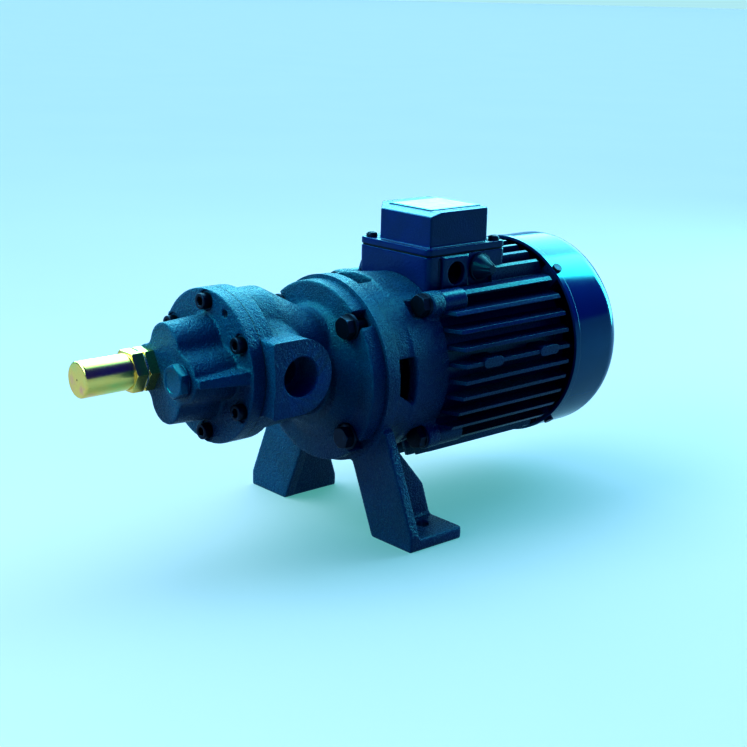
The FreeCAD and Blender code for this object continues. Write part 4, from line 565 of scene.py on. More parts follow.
# What makes each material slot's finish, and the values that it is given
FINISH_MAKERS = {
    "cast_iron_painted": (cast_enamel,),
    "motor_painted": (motor_enamel,),
    "cowl_painted": (cowl_enamel,),
    "box_painted": (box_enamel,),
    "screw_painted": (screw_enamel,),
    "black_steel": (black_oxide,),
    "gold_zinc": (yellow_zinc,),
    "bright_steel": (metal, (0.62, 0.62, 0.63), 0.28, 0.9 * MM, 0.02 * MM, (0.2, 1.0, 1.0)),
    "bearing_steel": (metal, (0.75, 0.75, 0.76), 0.12, 0.5 * MM, 0.004 * MM, (1.0, 1.0, 1.0), 0.95),
    "bronze": (metal, (0.62, 0.42, 0.20), 0.34, 0.8 * MM, 0.02 * MM),
    "brass": (metal, (0.78, 0.60, 0.28), 0.24, 0.8 * MM, 0.015 * MM),
    "copper_wire": (copper_windings,),
    "core_steel": (stacked_sheet,),
    "black_rubber": (moulded, (0.02, 0.02, 0.022), 0.62, 0.8 * MM, 0.06 * MM),
    "gasket_sheet": (moulded, (0.05, 0.05, 0.05), 0.8, 0.7 * MM, 0.08 * MM),
    "dark_plastic": (moulded, (0.008, 0.030, 0.075), 0.3, 1.0 * MM, 0.03 * MM),
    "label_metal": (blank_foil,),
}
finishes = {}


def finish_for(slot):
    """The slot's material, made once."""
    if slot not in finishes:
        maker, *values = FINISH_MAKERS[slot]
        finishes[slot] = maker(slot, *values)
    return finishes[slot]


# Mesh making

def cylinder(bm, radius, start, end, end_radius=None):
    """A closed cylinder or cone between two points."""
    axis = end - start
    turn = axis.to_track_quat("Z", "Y").to_matrix().to_4x4()
    place = Matrix.Translation((start + end) / 2) @ turn
    end_radius = radius if end_radius is None else end_radius
    bmesh.ops.create_cone(bm, cap_ends=True, segments=ROUND_SIDES, radius1=radius, radius2=end_radius,
                          depth=axis.length, matrix=place)


def x_rod(bm, radius, x0, x1, y=0.0, z=SHAFT_Z):
    cylinder(bm, radius, Vector((x0, y, z)), Vector((x1, y, z)))


def y_rod(bm, radius, y0, y1, x, z, end_radius=None):
    cylinder(bm, radius, Vector((x, y0, z)), Vector((x, y1, z)), end_radius)


def brick(bm, x0, x1, y0, y1, z0, z1):
    size = Matrix.Diagonal((x1 - x0, y1 - y0, z1 - z0, 1.0))
    middle = Matrix.Translation(((x0 + x1) / 2, (y0 + y1) / 2, (z0 + z1) / 2))
    bmesh.ops.create_cube(bm, size=1.0, matrix=middle @ size)


def rods(*sets):
    """What draws rods along X, from sets of (radius, x0, x1, places)."""
    def draw(bm):
        for radius, x0, x1, places in sets:
            for y, z, angle in places:
                x_rod(bm, radius, x0, x1, y, z)
    return draw


def bridge(bm, loops):
    """Joins each loop of corners to the next with four-sided faces."""
    for first, second in zip(loops, loops[1:]):
        for i in range(len(first)):
            j = (i + 1) % len(first)
            bm.faces.new((first[i], first[j], second[j], second[i]))


def fan(bm, loop, middle):
    """Closes a loop with three-sided faces round a point."""
    centre = bm.verts.new(middle)
    for i, corner in enumerate(loop):
        bm.faces.new((corner, loop[(i + 1) % len(loop)], centre))


def loop_at(bm, sides, place):
    """Corners in a closed loop, each at place(angle)."""
    return [bm.verts.new(place(math.tau * i / sides)) for i in range(sides)]


def capped(bm, loops):
    """A closed skin through loops, with one face at each end."""
    bm.faces.new(loops[0])
    bm.faces.new(loops[-1])
    bridge(bm, loops)


def upright_loops(bm, rings, y, z, sides):
    """Loops through rings of (x, radius of each angle), round an axis along X."""
    return [loop_at(bm, sides, lambda a: (x, y + radius_at(a) * math.cos(a), z + radius_at(a) * math.sin(a)))
            for x, radius_at in rings]


def level_loops(bm, outline):
    """Loops through an outline of (radius, height), round the Z axis."""
    return [loop_at(bm, ROUND_SIDES, lambda a: (radius * math.cos(a), radius * math.sin(a), height))
            for radius, height in outline]


def tube(bm, rings, y, z):
    """A closed skin through rings that come back to the first, round a hole along X."""
    loops = upright_loops(bm, rings, y, z, ROUND_SIDES)
    bridge(bm, loops + loops[:1])


def turned_mesh(bm, rings, y, z, sides):
    """A closed skin through rings, along an X axis, with flat ends."""
    loops = upright_loops(bm, rings, y, z, sides)
    bridge(bm, loops)
    fan(bm, loops[0], (rings[0][0], y, z))
    fan(bm, loops[-1], (rings[-1][0], y, z))


def shaded(bm):
    """Smooth shading that stops at sharp edges."""
    for face in bm.faces:
        face.smooth = True
    for edge in bm.edges:
        edge.smooth = len(edge.link_faces) == 2 and edge.calc_face_angle(math.pi) < SHARP_EDGE


def mesh_from(bm, name):
    mesh = bpy.data.meshes.new(name)
    bm.to_mesh(mesh)
    bm.free()
    if "custom_normal" in mesh.attributes:
        mesh.attributes.remove(mesh.attributes["custom_normal"])
    mesh.materials.clear()
    return mesh


def node_copy(node):
    """The node's own mesh, with its split corners joined."""
    bm = bmesh.new()
    bm.from_mesh(frame["nodes"][node].data)
    bmesh.ops.remove_doubles(bm, verts=bm.verts, dist=SAME_PLACE)
    return bm


def new_object(data, name):
    piece = bpy.data.objects.new(name, data)
    bpy.context.scene.collection.objects.link(piece)
    return piece


def smooth_surface(bm, name):
    """One object from a mesh, smooth all over."""
    for face in bm.faces:
        face.smooth = True
    return new_object(mesh_from(bm, name), name)


def stand_for(piece, *nodes):
    """The piece takes the nodes' finish, rides their body and is shown in their place."""
    slot = node_slots[nodes[0]]
    piece.data.materials.clear()
    piece.data.materials.append(finish_for(slot))
    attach(piece, node_bodies[nodes[0]])
    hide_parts(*nodes)


def finished_piece(bm, name, node):
    """One object from a mesh, shaded up to its sharp edges and shown in place of the node."""
    shaded(bm)
    stand_for(new_object(mesh_from(bm, name), name), node)


def smooth_copy(node, name):
    finished_piece(node_copy(node), name, node)


def with_modifiers_applied(piece):
    """Gives the piece the mesh that its modifiers make."""
    seen = piece.evaluated_get(bpy.context.evaluated_depsgraph_get())
    mesh = bpy.data.meshes.new_from_object(seen)
    piece.modifiers.clear()
    old = piece.data
    piece.data = mesh
    bpy.data.meshes.remove(old)


def cut(piece, draw):
    """Takes away from the piece what draw puts into an empty mesh; what it draws doesn't overlap itself."""
    bm = bmesh.new()
    draw(bm)
    bmesh.ops.recalc_face_normals(bm, faces=bm.faces)
    tool = new_object(mesh_from(bm, "cutter"), "cutter")
    boolean = piece.modifiers.new("cut", "BOOLEAN")
    boolean.operation = "DIFFERENCE"
    boolean.solver = "MANIFOLD"
    boolean.object = tool
    with_modifiers_applied(piece)
    mesh = tool.data
    bpy.data.objects.remove(tool)
    bpy.data.meshes.remove(mesh)


def cast(node, grain, rounds, add_stock=None, cuts=()):
    """A casting: the node with machining stock added, its skin rounded, then machined back to size."""
    name = "cast_" + node
    bm = node_copy(node)
    if add_stock:
        add_stock(bm)
    piece = new_object(mesh_from(bm, name), name)
    skin = piece.modifiers.new("skin", "REMESH")
    skin.mode = "VOXEL"
    skin.voxel_size = grain
    rounding = piece.modifiers.new("rounding", "SMOOTH")
    rounding.factor = 0.5
    rounding.iterations = rounds
    with_modifiers_applied(piece)
    for draw in cuts:
        cut(piece, draw)
    bm = bmesh.new()
    bm.from_mesh(piece.data)
    shaded(bm)
    bm.to_mesh(piece.data)
    bm.free()
    flats = piece.modifiers.new("flats", "WEIGHTED_NORMAL")
    flats.keep_sharp = True
    flats.weight = 80
    with_modifiers_applied(piece)
    stand_for(piece, node)


# Places of the bores, screws and bolts, as (y, z, angle)

def round_places(radius, count, first_angle, z=SHAFT_Z):
    """Places round an X axis, counted from +Y towards +Z, as (y, z, angle)."""
    angles = [math.radians(first_angle) + math.tau * i / count for i in range(count)]
    return [(radius * math.cos(a), z + radius * math.sin(a), a) for a in angles]


ON_SHAFT = [(0.0, SHAFT_Z, 0.0)]
ON_DRIVEN = [(0.0, DRIVEN_Z, 0.0)]
AT_VALVE = [(VALVE_Y, PUMP_Z, 0.0)]
AT_PLUG = [(PLUG_Y, PUMP_Z, 0.0)]
COVER_SCREW_PLACES = round_places(COVER_SCREW_CIRCLE_R, 6, 90.0, PUMP_Z)
DOWEL_PLACES = round_places(COVER_SCREW_CIRCLE_R, 2, 118.0, PUMP_Z)
FLANGE_BOLT_PLACES = round_places(FLANGE_BOLT_CIRCLE_R, 4, 45.0)
EAR_PLACES = round_places(EAR_CIRCLE_R, 4, 45.0)


# Outlines of turned and hexagonal pieces

def round_ring(x, radius):
    return (x, lambda angle: radius)


def hexagon_r(across_flats, angle, turn):
    """How far a hexagon's side is from its axis, in one direction."""
    sixth = math.tau / 6
    return across_flats / 2 / math.cos((angle - turn) % sixth - sixth / 2)


def hex_ring(x, across_flats, turn, most=math.inf):
    """A hexagon whose corners are turned down to the radius most."""
    return (x, lambda angle: min(most, hexagon_r(across_flats, angle, turn)))


def rounded_corner(x, radius, size):
    """Rings that round off an outer corner, from the face at x to the side."""
    steps = 4
    rings = []
    for i in range(steps, -1, -1):
        bend = math.pi / 2 * i / steps
        rings.append(round_ring(x + size * (1 - math.sin(bend)), radius - size * (1 - math.cos(bend))))
    return rings


def chamfered_hexagon(face_x, seat_x, across_flats, face_r, turn):
    """Rings from a hexagon's turned face, along its chamfer, to its seat."""
    steps = 6
    chamfer_slope = 0.5
    face_edge = 0.985
    corner_r = across_flats / math.sqrt(3)
    rings = [round_ring(face_x, face_r * face_edge)]
    for i in range(steps + 1):
        turned_down = (corner_r - face_r) * i / steps
        rings.append(hex_ring(face_x + chamfer_slope * turned_down, across_flats, turn, face_r + turned_down))
    rings.append(hex_ring(seat_x, across_flats, turn))
    return rings


def washer_rings(x0, x1, outer_r, inner_r):
    """Rings round a plain washer whose outer edge is rolled at x0."""
    edge = (x1 - x0) * 0.3
    small = edge * 0.4
    return [
        round_ring(x0, inner_r + small),
        round_ring(x0, outer_r - edge),
        round_ring(x0 + small, outer_r - edge * 0.25),
        round_ring(x0 + edge, outer_r),
        round_ring(x1, outer_r),
        round_ring(x1, inner_r),
        round_ring(x0 + small, inner_r),
    ]


def turned_piece(node, sets, sides, prefix="turned_"):
    """One object from sets of (rings, y, z), shown in place of the node."""
    bm = bmesh.new()
    for rings, y, z in sets:
        turned_mesh(bm, rings, y, z, sides)
    bmesh.ops.recalc_face_normals(bm, faces=bm.faces)
    finished_piece(bm, prefix + node, node)


# Operators

class NodeCopies:
    """What an operator does that shows the frame's own shapes, shaded smooth up to their sharp edges."""
    prefix = ""
    nodes = ()

    def execute(self, context):
        for node in self.nodes:
            smooth_copy(node, self.prefix + node)
        return {"FINISHED"}


class MakePumpBody(bpy.types.Operator):
    """Cast the pump body, then machine its faces and bores"""
    bl_idname = "gear_pump.make_body"
    bl_label = "Pump Body"

    def execute(self, context):
        parting_x = BODY_LOW.x
        port_x = (GEAR_LOW.x + GEAR_HIGH.x) / 2
        chamber_r = (GEAR_HIGH.z - GEAR_LOW.z) / 2 + CHAMBER_PLAY
        chamber_end = GEAR_HIGH.x + GEAR_END_PLAY
        flange_x = PUMP_FACE_X - FLANGE_T
        start_x = parting_x - STOCK
        end_x = BODY_HIGH.x + STOCK
        far = 90 * MM

        def stock(bm):
            x_rod(bm, RING_R, start_x, parting_x + STOCK, 0.0, PUMP_Z)
            x_rod(bm, FLANGE_R, PUMP_FACE_X - STOCK, PUMP_FACE_X + STOCK)
            for side in BOTH_SIDES:
                y0 = side * (PORT_FACE_Y - PORT_THREAD)
                y1 = side * (PORT_FACE_Y + STOCK)
                low_y, high_y = sorted((y0, y1))
                y_rod(bm, PORT_PAD_R, y0, y1, port_x, PUMP_Z)
                brick(bm, parting_x, port_x, low_y, high_y, PUMP_Z - PORT_PAD_R, PUMP_Z + PORT_PAD_R)

        def faces(bm):
            brick(bm, parting_x - far, parting_x, -far, far, 0.0, 2 * far + SHAFT_Z)
            pad_end = flange_x - PAD_FACE_END
            for side in BOTH_SIDES:
                low_y, high_y = sorted((side * PORT_FACE_Y, side * far))
                brick(bm, parting_x + CUT_GAP, pad_end, low_y, high_y, PUMP_Z - far / 2, PUMP_Z + far / 2)

        def threads(bm):
            for side in BOTH_SIDES:
                thread_cutter(bm, side, port_x, PUMP_Z)

        def mouths(bm):
            start_r = PORT_R - HAIR
            end_r = PORT_R + PORT_CHAMFER * 1.5
            for side in BOTH_SIDES:
                y0 = side * (PORT_FACE_Y - PORT_CHAMFER - HAIR)
                y_rod(bm, start_r, y0, side * (PORT_FACE_Y + OVERCUT), port_x, PUMP_Z, end_r)

        def passage(bm):
            y_rod(bm, PORT_PASSAGE_R, STOCK - PORT_FACE_Y, PORT_FACE_Y - STOCK, port_x, PUMP_Z)

        def rear_face(bm):
            cut_end = PUMP_FACE_X + FACING_CUT
            outline = ((PUMP_FACE_X, SPIGOT_R), (PUMP_FACE_X, far), (cut_end, far), (cut_end, SPIGOT_R))
            tube(bm, [round_ring(x, radius) for x, radius in outline], 0.0, SHAFT_Z)

        def slots(bm):
            for y, z, angle in FLANGE_BOLT_PLACES:
                slot_cutter(bm, far, flange_x - OVERCUT, PUMP_FACE_X + OVERCUT, angle)

        drive_chamber = rods((chamber_r, start_x, chamber_end, ON_SHAFT))
        driven_chamber = rods((chamber_r, start_x, chamber_end, ON_DRIVEN))
        bushes = rods((BUSH_R, chamber_end - STOCK, chamber_end + BUSH_LENGTH, ON_SHAFT + ON_DRIVEN))
        shaft_hole = rods((SHAFT_HOLE_R, chamber_end, end_x, ON_SHAFT))
        seal_bore = rods((SEAL_R, PUMP_FACE_X - SEAL_DEPTH, end_x, ON_SHAFT))
        spots = rods((FLANGE_SPOT_R, flange_x - FLANGE_SPOT_REACH, flange_x, FLANGE_BOLT_PLACES))
        screw_holes = rods(
            (COVER_SCREW_R, start_x, parting_x + COVER_SCREW_DEPTH, COVER_SCREW_PLACES),
            (DOWEL_R, start_x, parting_x + DOWEL_DEPTH, DOWEL_PLACES))
        sizes = unit().sizes
        cast("pump_body", sizes.casting_grain, sizes.cast_rounds, stock,
             (faces, threads, mouths, passage, drive_chamber, driven_chamber, bushes, shaft_hole, seal_bore,
              rear_face, spots, slots, screw_holes))
        return {"FINISHED"}


def slot_cutter(bm, end_r, x0, x1, angle):
    """A flange slot with a round inner end, open outwards, at an angle round the shaft."""
    outline = []
    half = FLANGE_SLOT / 2
    for i in range(ROUND_STEPS + 1):
        bend = math.pi / 2 + math.pi * i / ROUND_STEPS
        outline.append((FLANGE_BOLT_CIRCLE_R + half * math.cos(bend), half * math.sin(bend)))
    outline.append((end_r, -half))
    outline.append((end_r, half))
    loops = []
    for x in (x0, x1):
        loop = []
        for out, across in outline:
            y = out * math.cos(angle) - across * math.sin(angle)
            z = SHAFT_Z + out * math.sin(angle) + across * math.cos(angle)
            loop.append(bm.verts.new((x, y, z)))
        loops.append(loop)
    capped(bm, loops)


def thread_cutter(bm, side, x, z):
    """A closed rod with sharp thread ridges, as deep as a port's thread."""
    deep = PORT_FACE_Y - PORT_THREAD
    profile = [(deep, PORT_R)]
    while profile[-1][0] + PORT_PITCH < PORT_FACE_Y:
        start = profile[-1][0]
        profile.append((start + PORT_PITCH * 0.5, PORT_R + PORT_RIDGE))
        profile.append((start + PORT_PITCH, PORT_R))
    profile.append((PORT_FACE_Y + STOCK, PORT_R))
    loops = [
        loop_at(bm, ROUND_SIDES, lambda a: (x + radius * math.cos(a), side * y, z + radius * math.sin(a)))
        for y, radius in profile]
    capped(bm, loops)


class MakePumpCover(bpy.types.Operator):
    """Cast the pump cover, then machine its joint face, bores and spot faces"""
    bl_idname = "gear_pump.make_cover"
    bl_label = "Pump Cover"

    def execute(self, context):
        back_x = COVER_HIGH.x
        end_x = back_x + STOCK
        face_x = back_x - COVER_T
        start_x = COVER_LOW.x - STOCK
        far = 90 * MM

        def stock(bm):
            x_rod(bm, RING_R, back_x - STOCK, end_x, 0.0, PUMP_Z)

        def back_face(bm):
            brick(bm, back_x, back_x + far, -far, far, 0.0, 2 * far + SHAFT_Z)

        valve_bore = rods((VALVE_BORE_R, start_x, back_x - VALVE_BORE_END, AT_VALVE))
        threads = rods(
            (BONNET_THREAD_R, start_x, COVER_LOW.x + BONNET_THREAD, AT_VALVE),
            (PLUG_THREAD_R, start_x, COVER_LOW.x + PLUG_THREAD, AT_PLUG))
        passage = rods((VALVE_PASSAGE_R, back_x - VALVE_PASSAGE, end_x, AT_VALVE))
        bushes = rods((BUSH_R, back_x - BUSH_LENGTH, end_x, ON_SHAFT + ON_DRIVEN))
        screw_holes = rods(
            (COVER_SCREW_HOLE_R, face_x - STOCK, end_x, COVER_SCREW_PLACES),
            (DOWEL_R, face_x - STOCK, end_x, DOWEL_PLACES))
        spots = rods(
            (COVER_SPOT_R, face_x - COVER_SCREW_HEAD, face_x + COVER_SPOT_DEPTH, COVER_SCREW_PLACES))
        sizes = unit().sizes
        cast("pump_cover", sizes.cover_grain, sizes.cast_rounds, stock,
             (back_face, valve_bore, threads, passage, bushes, screw_holes, spots))
        return {"FINISHED"}


class MakeBracket(bpy.types.Operator):
    """Cast the footed bracket, then machine its two faces, bores and bolt seats"""
    bl_idname = "gear_pump.make_bracket"
    bl_label = "Bracket"

    def execute(self, context):
        front_x = BRACKET_LOW.x
        rear_x = BRACKET_HIGH.x
        inner_x = front_x + BRACKET_FACE_T
        ear_x = rear_x - EAR_T
        far = 120 * MM

        def faces(bm):
            brick(bm, front_x - far, front_x, -far, far, -far, 2 * far)
            brick(bm, rear_x, rear_x + far, -far, far, -far, 2 * far)

        def soles(bm):
            brick(bm, front_x - STOCK, rear_x + STOCK, -far, far, -far, 0.0)

        def foot_holes(bm):
            for side in BOTH_SIDES:
                y = side * FOOT_HOLE_Y
                cylinder(bm, FOOT_HOLE_R, Vector((0.0, y, -STOCK)), Vector((0.0, y, FOOT_DRILL)))

        stock = rods(
            (BRACKET_FACE_R, front_x - STOCK, front_x + STOCK, ON_SHAFT),
            (BRACKET_REAR_R, rear_x - STOCK, rear_x + STOCK, ON_SHAFT))
        bore = rods((BRACKET_BORE_R, inner_x, rear_x + 2 * STOCK, ON_SHAFT))
        spigot = rods((BRACKET_SPIGOT_R, front_x - 2 * STOCK, inner_x + STOCK, ON_SHAFT))
        pockets = rods((EAR_POCKET_R, ear_x - EAR_POCKET, ear_x, EAR_PLACES))
        bolt_holes = rods(
            (EAR_HOLE_R, ear_x - STOCK, rear_x + STOCK, EAR_PLACES),
            (BOLT_R, front_x - STOCK, front_x + FLANGE_BOLT_DEPTH, FLANGE_BOLT_PLACES))
        sizes = unit().sizes
        cast("bracket", sizes.casting_grain, sizes.cast_rounds, stock,
             (faces, soles, bore, spigot, foot_holes, pockets, bolt_holes))
        return {"FINISHED"}


class MakeTerminalBox(bpy.types.Operator):
    """Cast the terminal box and its lid, with rounded edges"""
    bl_idname = "gear_pump.make_terminal_box"
    bl_label = "Terminal Box"

    def execute(self, context):
        entry_x = MOTOR_FACE_X + ENTRY_FROM_FACE
        entry_z = SHAFT_Z + ENTRY_OVER_SHAFT

        def entry(bm):
            y_rod(bm, ENTRY_R, BOX_LOW.y - STOCK, BOX_LOW.y + ENTRY_DEPTH, entry_x, entry_z)

        sizes = unit().sizes
        cast("terminal_box", sizes.box_grain, sizes.box_rounds, cuts=(entry,))
        cast("box_lid", sizes.box_grain, sizes.box_rounds)
        return {"FINISHED"}


class MakeCoverScrews(bpy.types.Operator):
    """Make the six socket screws of the pump cover, with knurled heads"""
    bl_idname = "gear_pump.make_cover_screws"
    bl_label = "Cover Screws"

    def execute(self, context):
        low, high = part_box("cover_screws")
        sizes = unit().sizes
        head_r = 5.0 * MM
        head_x = low.x
        seat_x = head_x + COVER_SCREW_HEAD
        socket_depth = 3.2 * MM
        socket_flats = 5.0 * MM
        small_edge = 0.3 * MM
        chamfer = 0.5 * MM
        knurl_start = 1.2 * MM
        ridges = 36
        depth = sizes.knurl_depth

        def knurled(x):
            return (x, lambda angle: head_r - depth * (0.5 + 0.5 * math.cos(ridges * angle)))

        rings = [
            hex_ring(head_x + socket_depth, socket_flats, 0.0),
            hex_ring(head_x + chamfer, socket_flats, 0.0),
            round_ring(head_x, socket_flats / math.sqrt(3) + small_edge),
            *rounded_corner(head_x, head_r, sizes.screw_round),
            knurled(head_x + knurl_start),
            knurled(seat_x - chamfer),
            round_ring(seat_x, head_r - small_edge),
            round_ring(seat_x, COVER_SCREW_R),
            round_ring(high.x, COVER_SCREW_R),
        ]
        sets = [(rings, y, z) for y, z, angle in COVER_SCREW_PLACES]
        turned_piece("cover_screws", sets, 4 * ridges, "knurled_")
        return {"FINISHED"}


class MakeHexBolts(bpy.types.Operator):
    """Make the eight hexagon bolts of the pump flange and the motor, with turned faces"""
    bl_idname = "gear_pump.make_hex_bolts"
    bl_label = "Hexagon Bolts"

    def execute(self, context):
        flats = 13.0 * MM
        face_r = flats / math.sqrt(3) - 1.1 * MM
        for node, places, head_h in (("flange_bolts", FLANGE_BOLT_PLACES, 5.5 * MM),
                                     ("motor_bolts", EAR_PLACES, 5.3 * MM)):
            low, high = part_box(node)
            seat_x = low.x + head_h
            shank = [round_ring(seat_x, BOLT_R), round_ring(high.x, BOLT_R)]
            sets = []
            for y, z, angle in places:
                sets.append((chamfered_hexagon(low.x, seat_x, flats, face_r, angle) + shank, y, z))
            turned_piece(node, sets, ROUND_SIDES)
        return {"FINISHED"}


class MakeWashers(bpy.types.Operator):
    """Make the plain washers under the hexagon bolts, with rolled edges"""
    bl_idname = "gear_pump.make_washers"
    bl_label = "Washers"

    def execute(self, context):
        for node, places, radius in (("flange_washers", FLANGE_BOLT_PLACES, 8.5 * MM),
                                     ("motor_washers", EAR_PLACES, 7.5 * MM)):
            low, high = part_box(node)
            bm = bmesh.new()
            for y, z, angle in places:
                tube(bm, washer_rings(low.x, high.x, radius, BOLT_R), y, z)
            bmesh.ops.recalc_face_normals(bm, faces=bm.faces)
            finished_piece(bm, "rolled_" + node, node)
        return {"FINISHED"}


class MakeValveCap(NodeCopies, bpy.types.Operator):
    """Turn the relief valve's cap, bonnet, washer and nut"""
    bl_idname = "gear_pump.make_valve_cap"
    bl_label = "Valve Cap"
    prefix = "turned_"
    nodes = ("valve_cap", "valve_bonnet", "cap_washer", "adjuster_nut")


class MakeSidePlug(bpy.types.Operator):
    """Turn the hexagon plug beside the valve, and its washer"""
    bl_idname = "gear_pump.make_side_plug"
    bl_label = "Side Plug"

    def execute(self, context):
        seat_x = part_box("plug_washer")[0].x
        flats = 19.0 * MM
        face_r = 9.0 * MM
        dimple = round_ring(PLUG_LOW.x + 0.5 * MM, 6.6 * MM)
        rim = round_ring(PLUG_LOW.x, 7.2 * MM)
        head = chamfered_hexagon(PLUG_LOW.x, seat_x, flats, face_r, math.radians(30.0))
        shank = [round_ring(seat_x, PLUG_THREAD_R), round_ring(PLUG_HIGH.x, PLUG_THREAD_R)]
        turned_piece("side_plug", [([dimple, rim] + head + shank, PLUG_Y, PUMP_Z)], HEXAGON_SIDES)
        smooth_copy("plug_washer", "turned_plug_washer")
        return {"FINISHED"}


class MakeMotorCase(NodeCopies, bpy.types.Operator):
    """Finish the finned motor housing and its two end shields"""
    bl_idname = "gear_pump.make_motor_case"
    bl_label = "Motor Case"
    prefix = "finned_"
    nodes = ("motor_housing", "front_shield", "rear_shield")


class MakeFanCowl(NodeCopies, bpy.types.Operator):
    """Finish the pressed fan cowl, the fan and their screws"""
    bl_idname = "gear_pump.make_fan_cowl"
    bl_label = "Fan Cowl"
    prefix = "pressed_"
    nodes = ("fan_cowl", "fan", "cowl_screws")


class MakeBoxFittings(NodeCopies, bpy.types.Operator):
    """Finish the box's lid screws, blanking cone and blank plate"""
    bl_idname = "gear_pump.make_box_fittings"
    bl_label = "Box Fittings"
    prefix = "fitted_"
    nodes = ("lid_screws", "entry_plug", "lid_label")


class FinishInnerPieces(bpy.types.Operator):
    """Give every piece of the frame the finish of its material slot"""
    bl_idname = "gear_pump.finish_inner_pieces"
    bl_label = "Inner Pieces"

    def execute(self, context):
        for node, cad_object in frame["nodes"].items():
            material = finish_for(node_slots[node])
            if not cad_object.material_slots:
                cad_object.data.materials.append(material)
            for slot in cad_object.material_slots:
                slot.material = material
        return {"FINISHED"}


class SetStage(bpy.types.Operator):
    """Lay the pale sweep, hang the lights and place the camera"""
    bl_idname = "gear_pump.set_stage"
    bl_label = "Stage"

    def execute(self, context):
        stage = unit().stage
        lay_sweep(stage.floor_colour)
        hang_backdrop(stage.backdrop_colour)
        key = hang_lamp("key_light", "SUN", stage.key_strength, stage.key_colour, KEY_WAY)
        key.data.angle = KEY_SPREAD
        hang_softbox("soft_light", stage.soft_power, stage.key_colour, *LEFT_BOX)
        hang_softbox("rim_light", stage.rim_power, stage.rim_colour, *RIM_BOX)
        light_room(stage)
        place_camera()
        context.scene.view_settings.view_transform = "Standard"
        context.scene.view_settings.gamma = stage.contrast
        return {"FINISHED"}


def lay_sweep(colour):
    """A flat floor that curves up into a low wall far off."""
    flat_r = 60.0
    bend_r = 6.0
    wall_top = 12.0
    outline = [(radius, 0.0) for radius in (0.5, 1.5, 3.5, 8.0, 20.0)]
    for i in range(ROUND_STEPS + 1):
        bend = math.pi / 2 * i / ROUND_STEPS
        outline.append((flat_r + bend_r * math.sin(bend), bend_r * (1 - math.cos(bend))))
    outline.append((flat_r + bend_r, wall_top))
    bm = bmesh.new()
    loops = level_loops(bm, outline)
    fan(bm, loops[0], (0.0, 0.0, 0.0))
    bridge(bm, loops[::-1])
    sweep = smooth_surface(bm, "pale_sweep")
    finish = Finish("pale_sweep")
    sweep.data.materials.append(finish.surface(
        Base_Color=finish.mottled(colour, 0.98, 1.0, 0.35),
        Roughness=0.9,
        Specular_IOR_Level=0.0,
        Emission_Color=FLOOR_GLOW,
        Emission_Strength=FLOOR_GLOW_STRENGTH))
    sweep.visible_diffuse = False


def hang_backdrop(colour):
    """A pale ring far off that closes the view above the floor and gives the object no light."""
    ring_r = 50.0
    foot = -1.0
    top = 60.0
    even_from = 4.0
    bm = bmesh.new()
    bridge(bm, level_loops(bm, ((ring_r, top), (ring_r, foot))))
    backdrop = smooth_surface(bm, "backdrop")
    finish = Finish("backdrop")
    rise = finish.axis("Z").between(0.0, even_from)
    backdrop.data.materials.append(finish.surface(
        Base_Color=BLACK,
        Roughness=1.0,
        Specular_IOR_Level=0.0,
        Emission_Color=finish.mix(rise, scaled(colour, 0.96), colour),
        Emission_Strength=1.0))
    backdrop.visible_diffuse = False
    backdrop.visible_glossy = False
    backdrop.visible_shadow = False


def hang_lamp(name, kind, energy, colour, way):
    """A light that shines along way."""
    lamp = bpy.data.lights.new(name, kind)
    lamp.energy = energy
    lamp.color = colour
    light = new_object(lamp, name)
    light.rotation_euler = way.to_track_quat("-Z", "Y").to_euler()
    return light


def hang_softbox(name, power, colour, size, place, aim):
    light = hang_lamp(name, "AREA", power, colour, Vector(aim) - Vector(place))
    light.data.shape = "RECTANGLE"
    light.data.size, light.data.size_y = size
    light.location = place


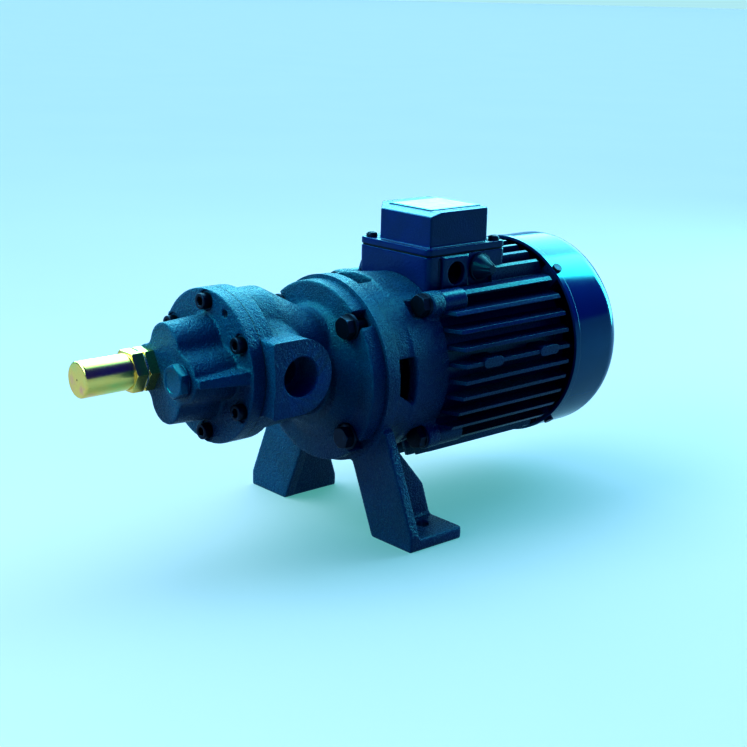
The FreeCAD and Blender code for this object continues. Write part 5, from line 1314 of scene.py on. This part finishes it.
def light_room(stage):
    """Light from above and behind, dim towards the camera's side, and a little thrown back by the floor."""
    world = bpy.data.worlds.new("room")
    world.use_nodes = True
    room = NodeMaker(world.node_tree)
    way = room.node("ShaderNodeTexCoord", output="Generated")

    def towards(aim, edges):
        along = room.node("ShaderNodeVectorMath", {"operation": "DOT_PRODUCT"}, {0: way, 1: aim}, "Value")
        return along.between(*edges)

    behind = towards(WINDOW_WAY, WINDOW_EDGES)
    dim = room.mix(towards(DOWN, DOWN_EDGES), stage.dark_colour, stage.bounce_colour)
    background = room.tree.nodes["Background"]
    room.feed(background.inputs["Color"], room.mix(behind, dim, stage.room_colour))
    room.feed(background.inputs["Strength"], stage.room_strength)
    bpy.context.scene.world = world


def place_camera():
    """The photograph's viewpoint, found by fitting the unit's outlines."""
    place = Vector((-607.9, -694.0, 346.4)) * MM
    yaw = math.radians(48.29)
    pitch = math.radians(-15.17)
    roll = math.radians(1.38)
    ahead = Vector((math.cos(yaw) * math.cos(pitch), math.sin(yaw) * math.cos(pitch), math.sin(pitch)))
    right = Vector((math.sin(yaw), -math.cos(yaw), 0.0))
    up = right.cross(ahead)
    across = right * math.cos(roll) + up * math.sin(roll)
    upright = up * math.cos(roll) - right * math.sin(roll)
    turn = Matrix((across, upright, -ahead)).transposed().to_4x4()
    lens = bpy.data.cameras.new("photo_camera")
    lens.sensor_width = 36.0
    lens.lens = 68.2
    lens.clip_start = 0.01
    camera = new_object(lens, "photo_camera")
    camera.matrix_world = Matrix.Translation(place) @ turn
    bpy.context.scene.camera = camera


class GearPumpPanel(bpy.types.Panel):
    """The gear pump unit's pieces and stage, in the sidebar"""
    bl_idname = "VIEW3D_PT_gear_pump"
    bl_label = "Gear Pump Unit"
    bl_space_type = "VIEW_3D"
    bl_region_type = "UI"
    bl_category = "Gear Pump"

    def draw(self, context):
        for operator in OPERATORS:
            self.layout.operator(operator.bl_idname)


OPERATORS = (
    MakePumpBody, MakePumpCover, MakeBracket, MakeTerminalBox, MakeCoverScrews, MakeHexBolts, MakeWashers,
    MakeValveCap, MakeSidePlug, MakeMotorCase, MakeFanCowl, MakeBoxFittings, FinishInnerPieces, SetStage)
CLASSES = (PumpColours, PumpSizes, StageSettings, PumpUnit) + OPERATORS + (GearPumpPanel,)


def register():
    for item in CLASSES:
        bpy.utils.register_class(item)
    bpy.types.Scene.pump_unit = bpy.props.PointerProperty(type=PumpUnit)


def unregister():
    del bpy.types.Scene.pump_unit
    for item in reversed(CLASSES):
        bpy.utils.unregister_class(item)


def main():
    register()
    for operator in OPERATORS:
        group, name = operator.bl_idname.split(".")
        getattr(getattr(bpy.ops, group), name)()


if __name__ == "__main__":
    main()
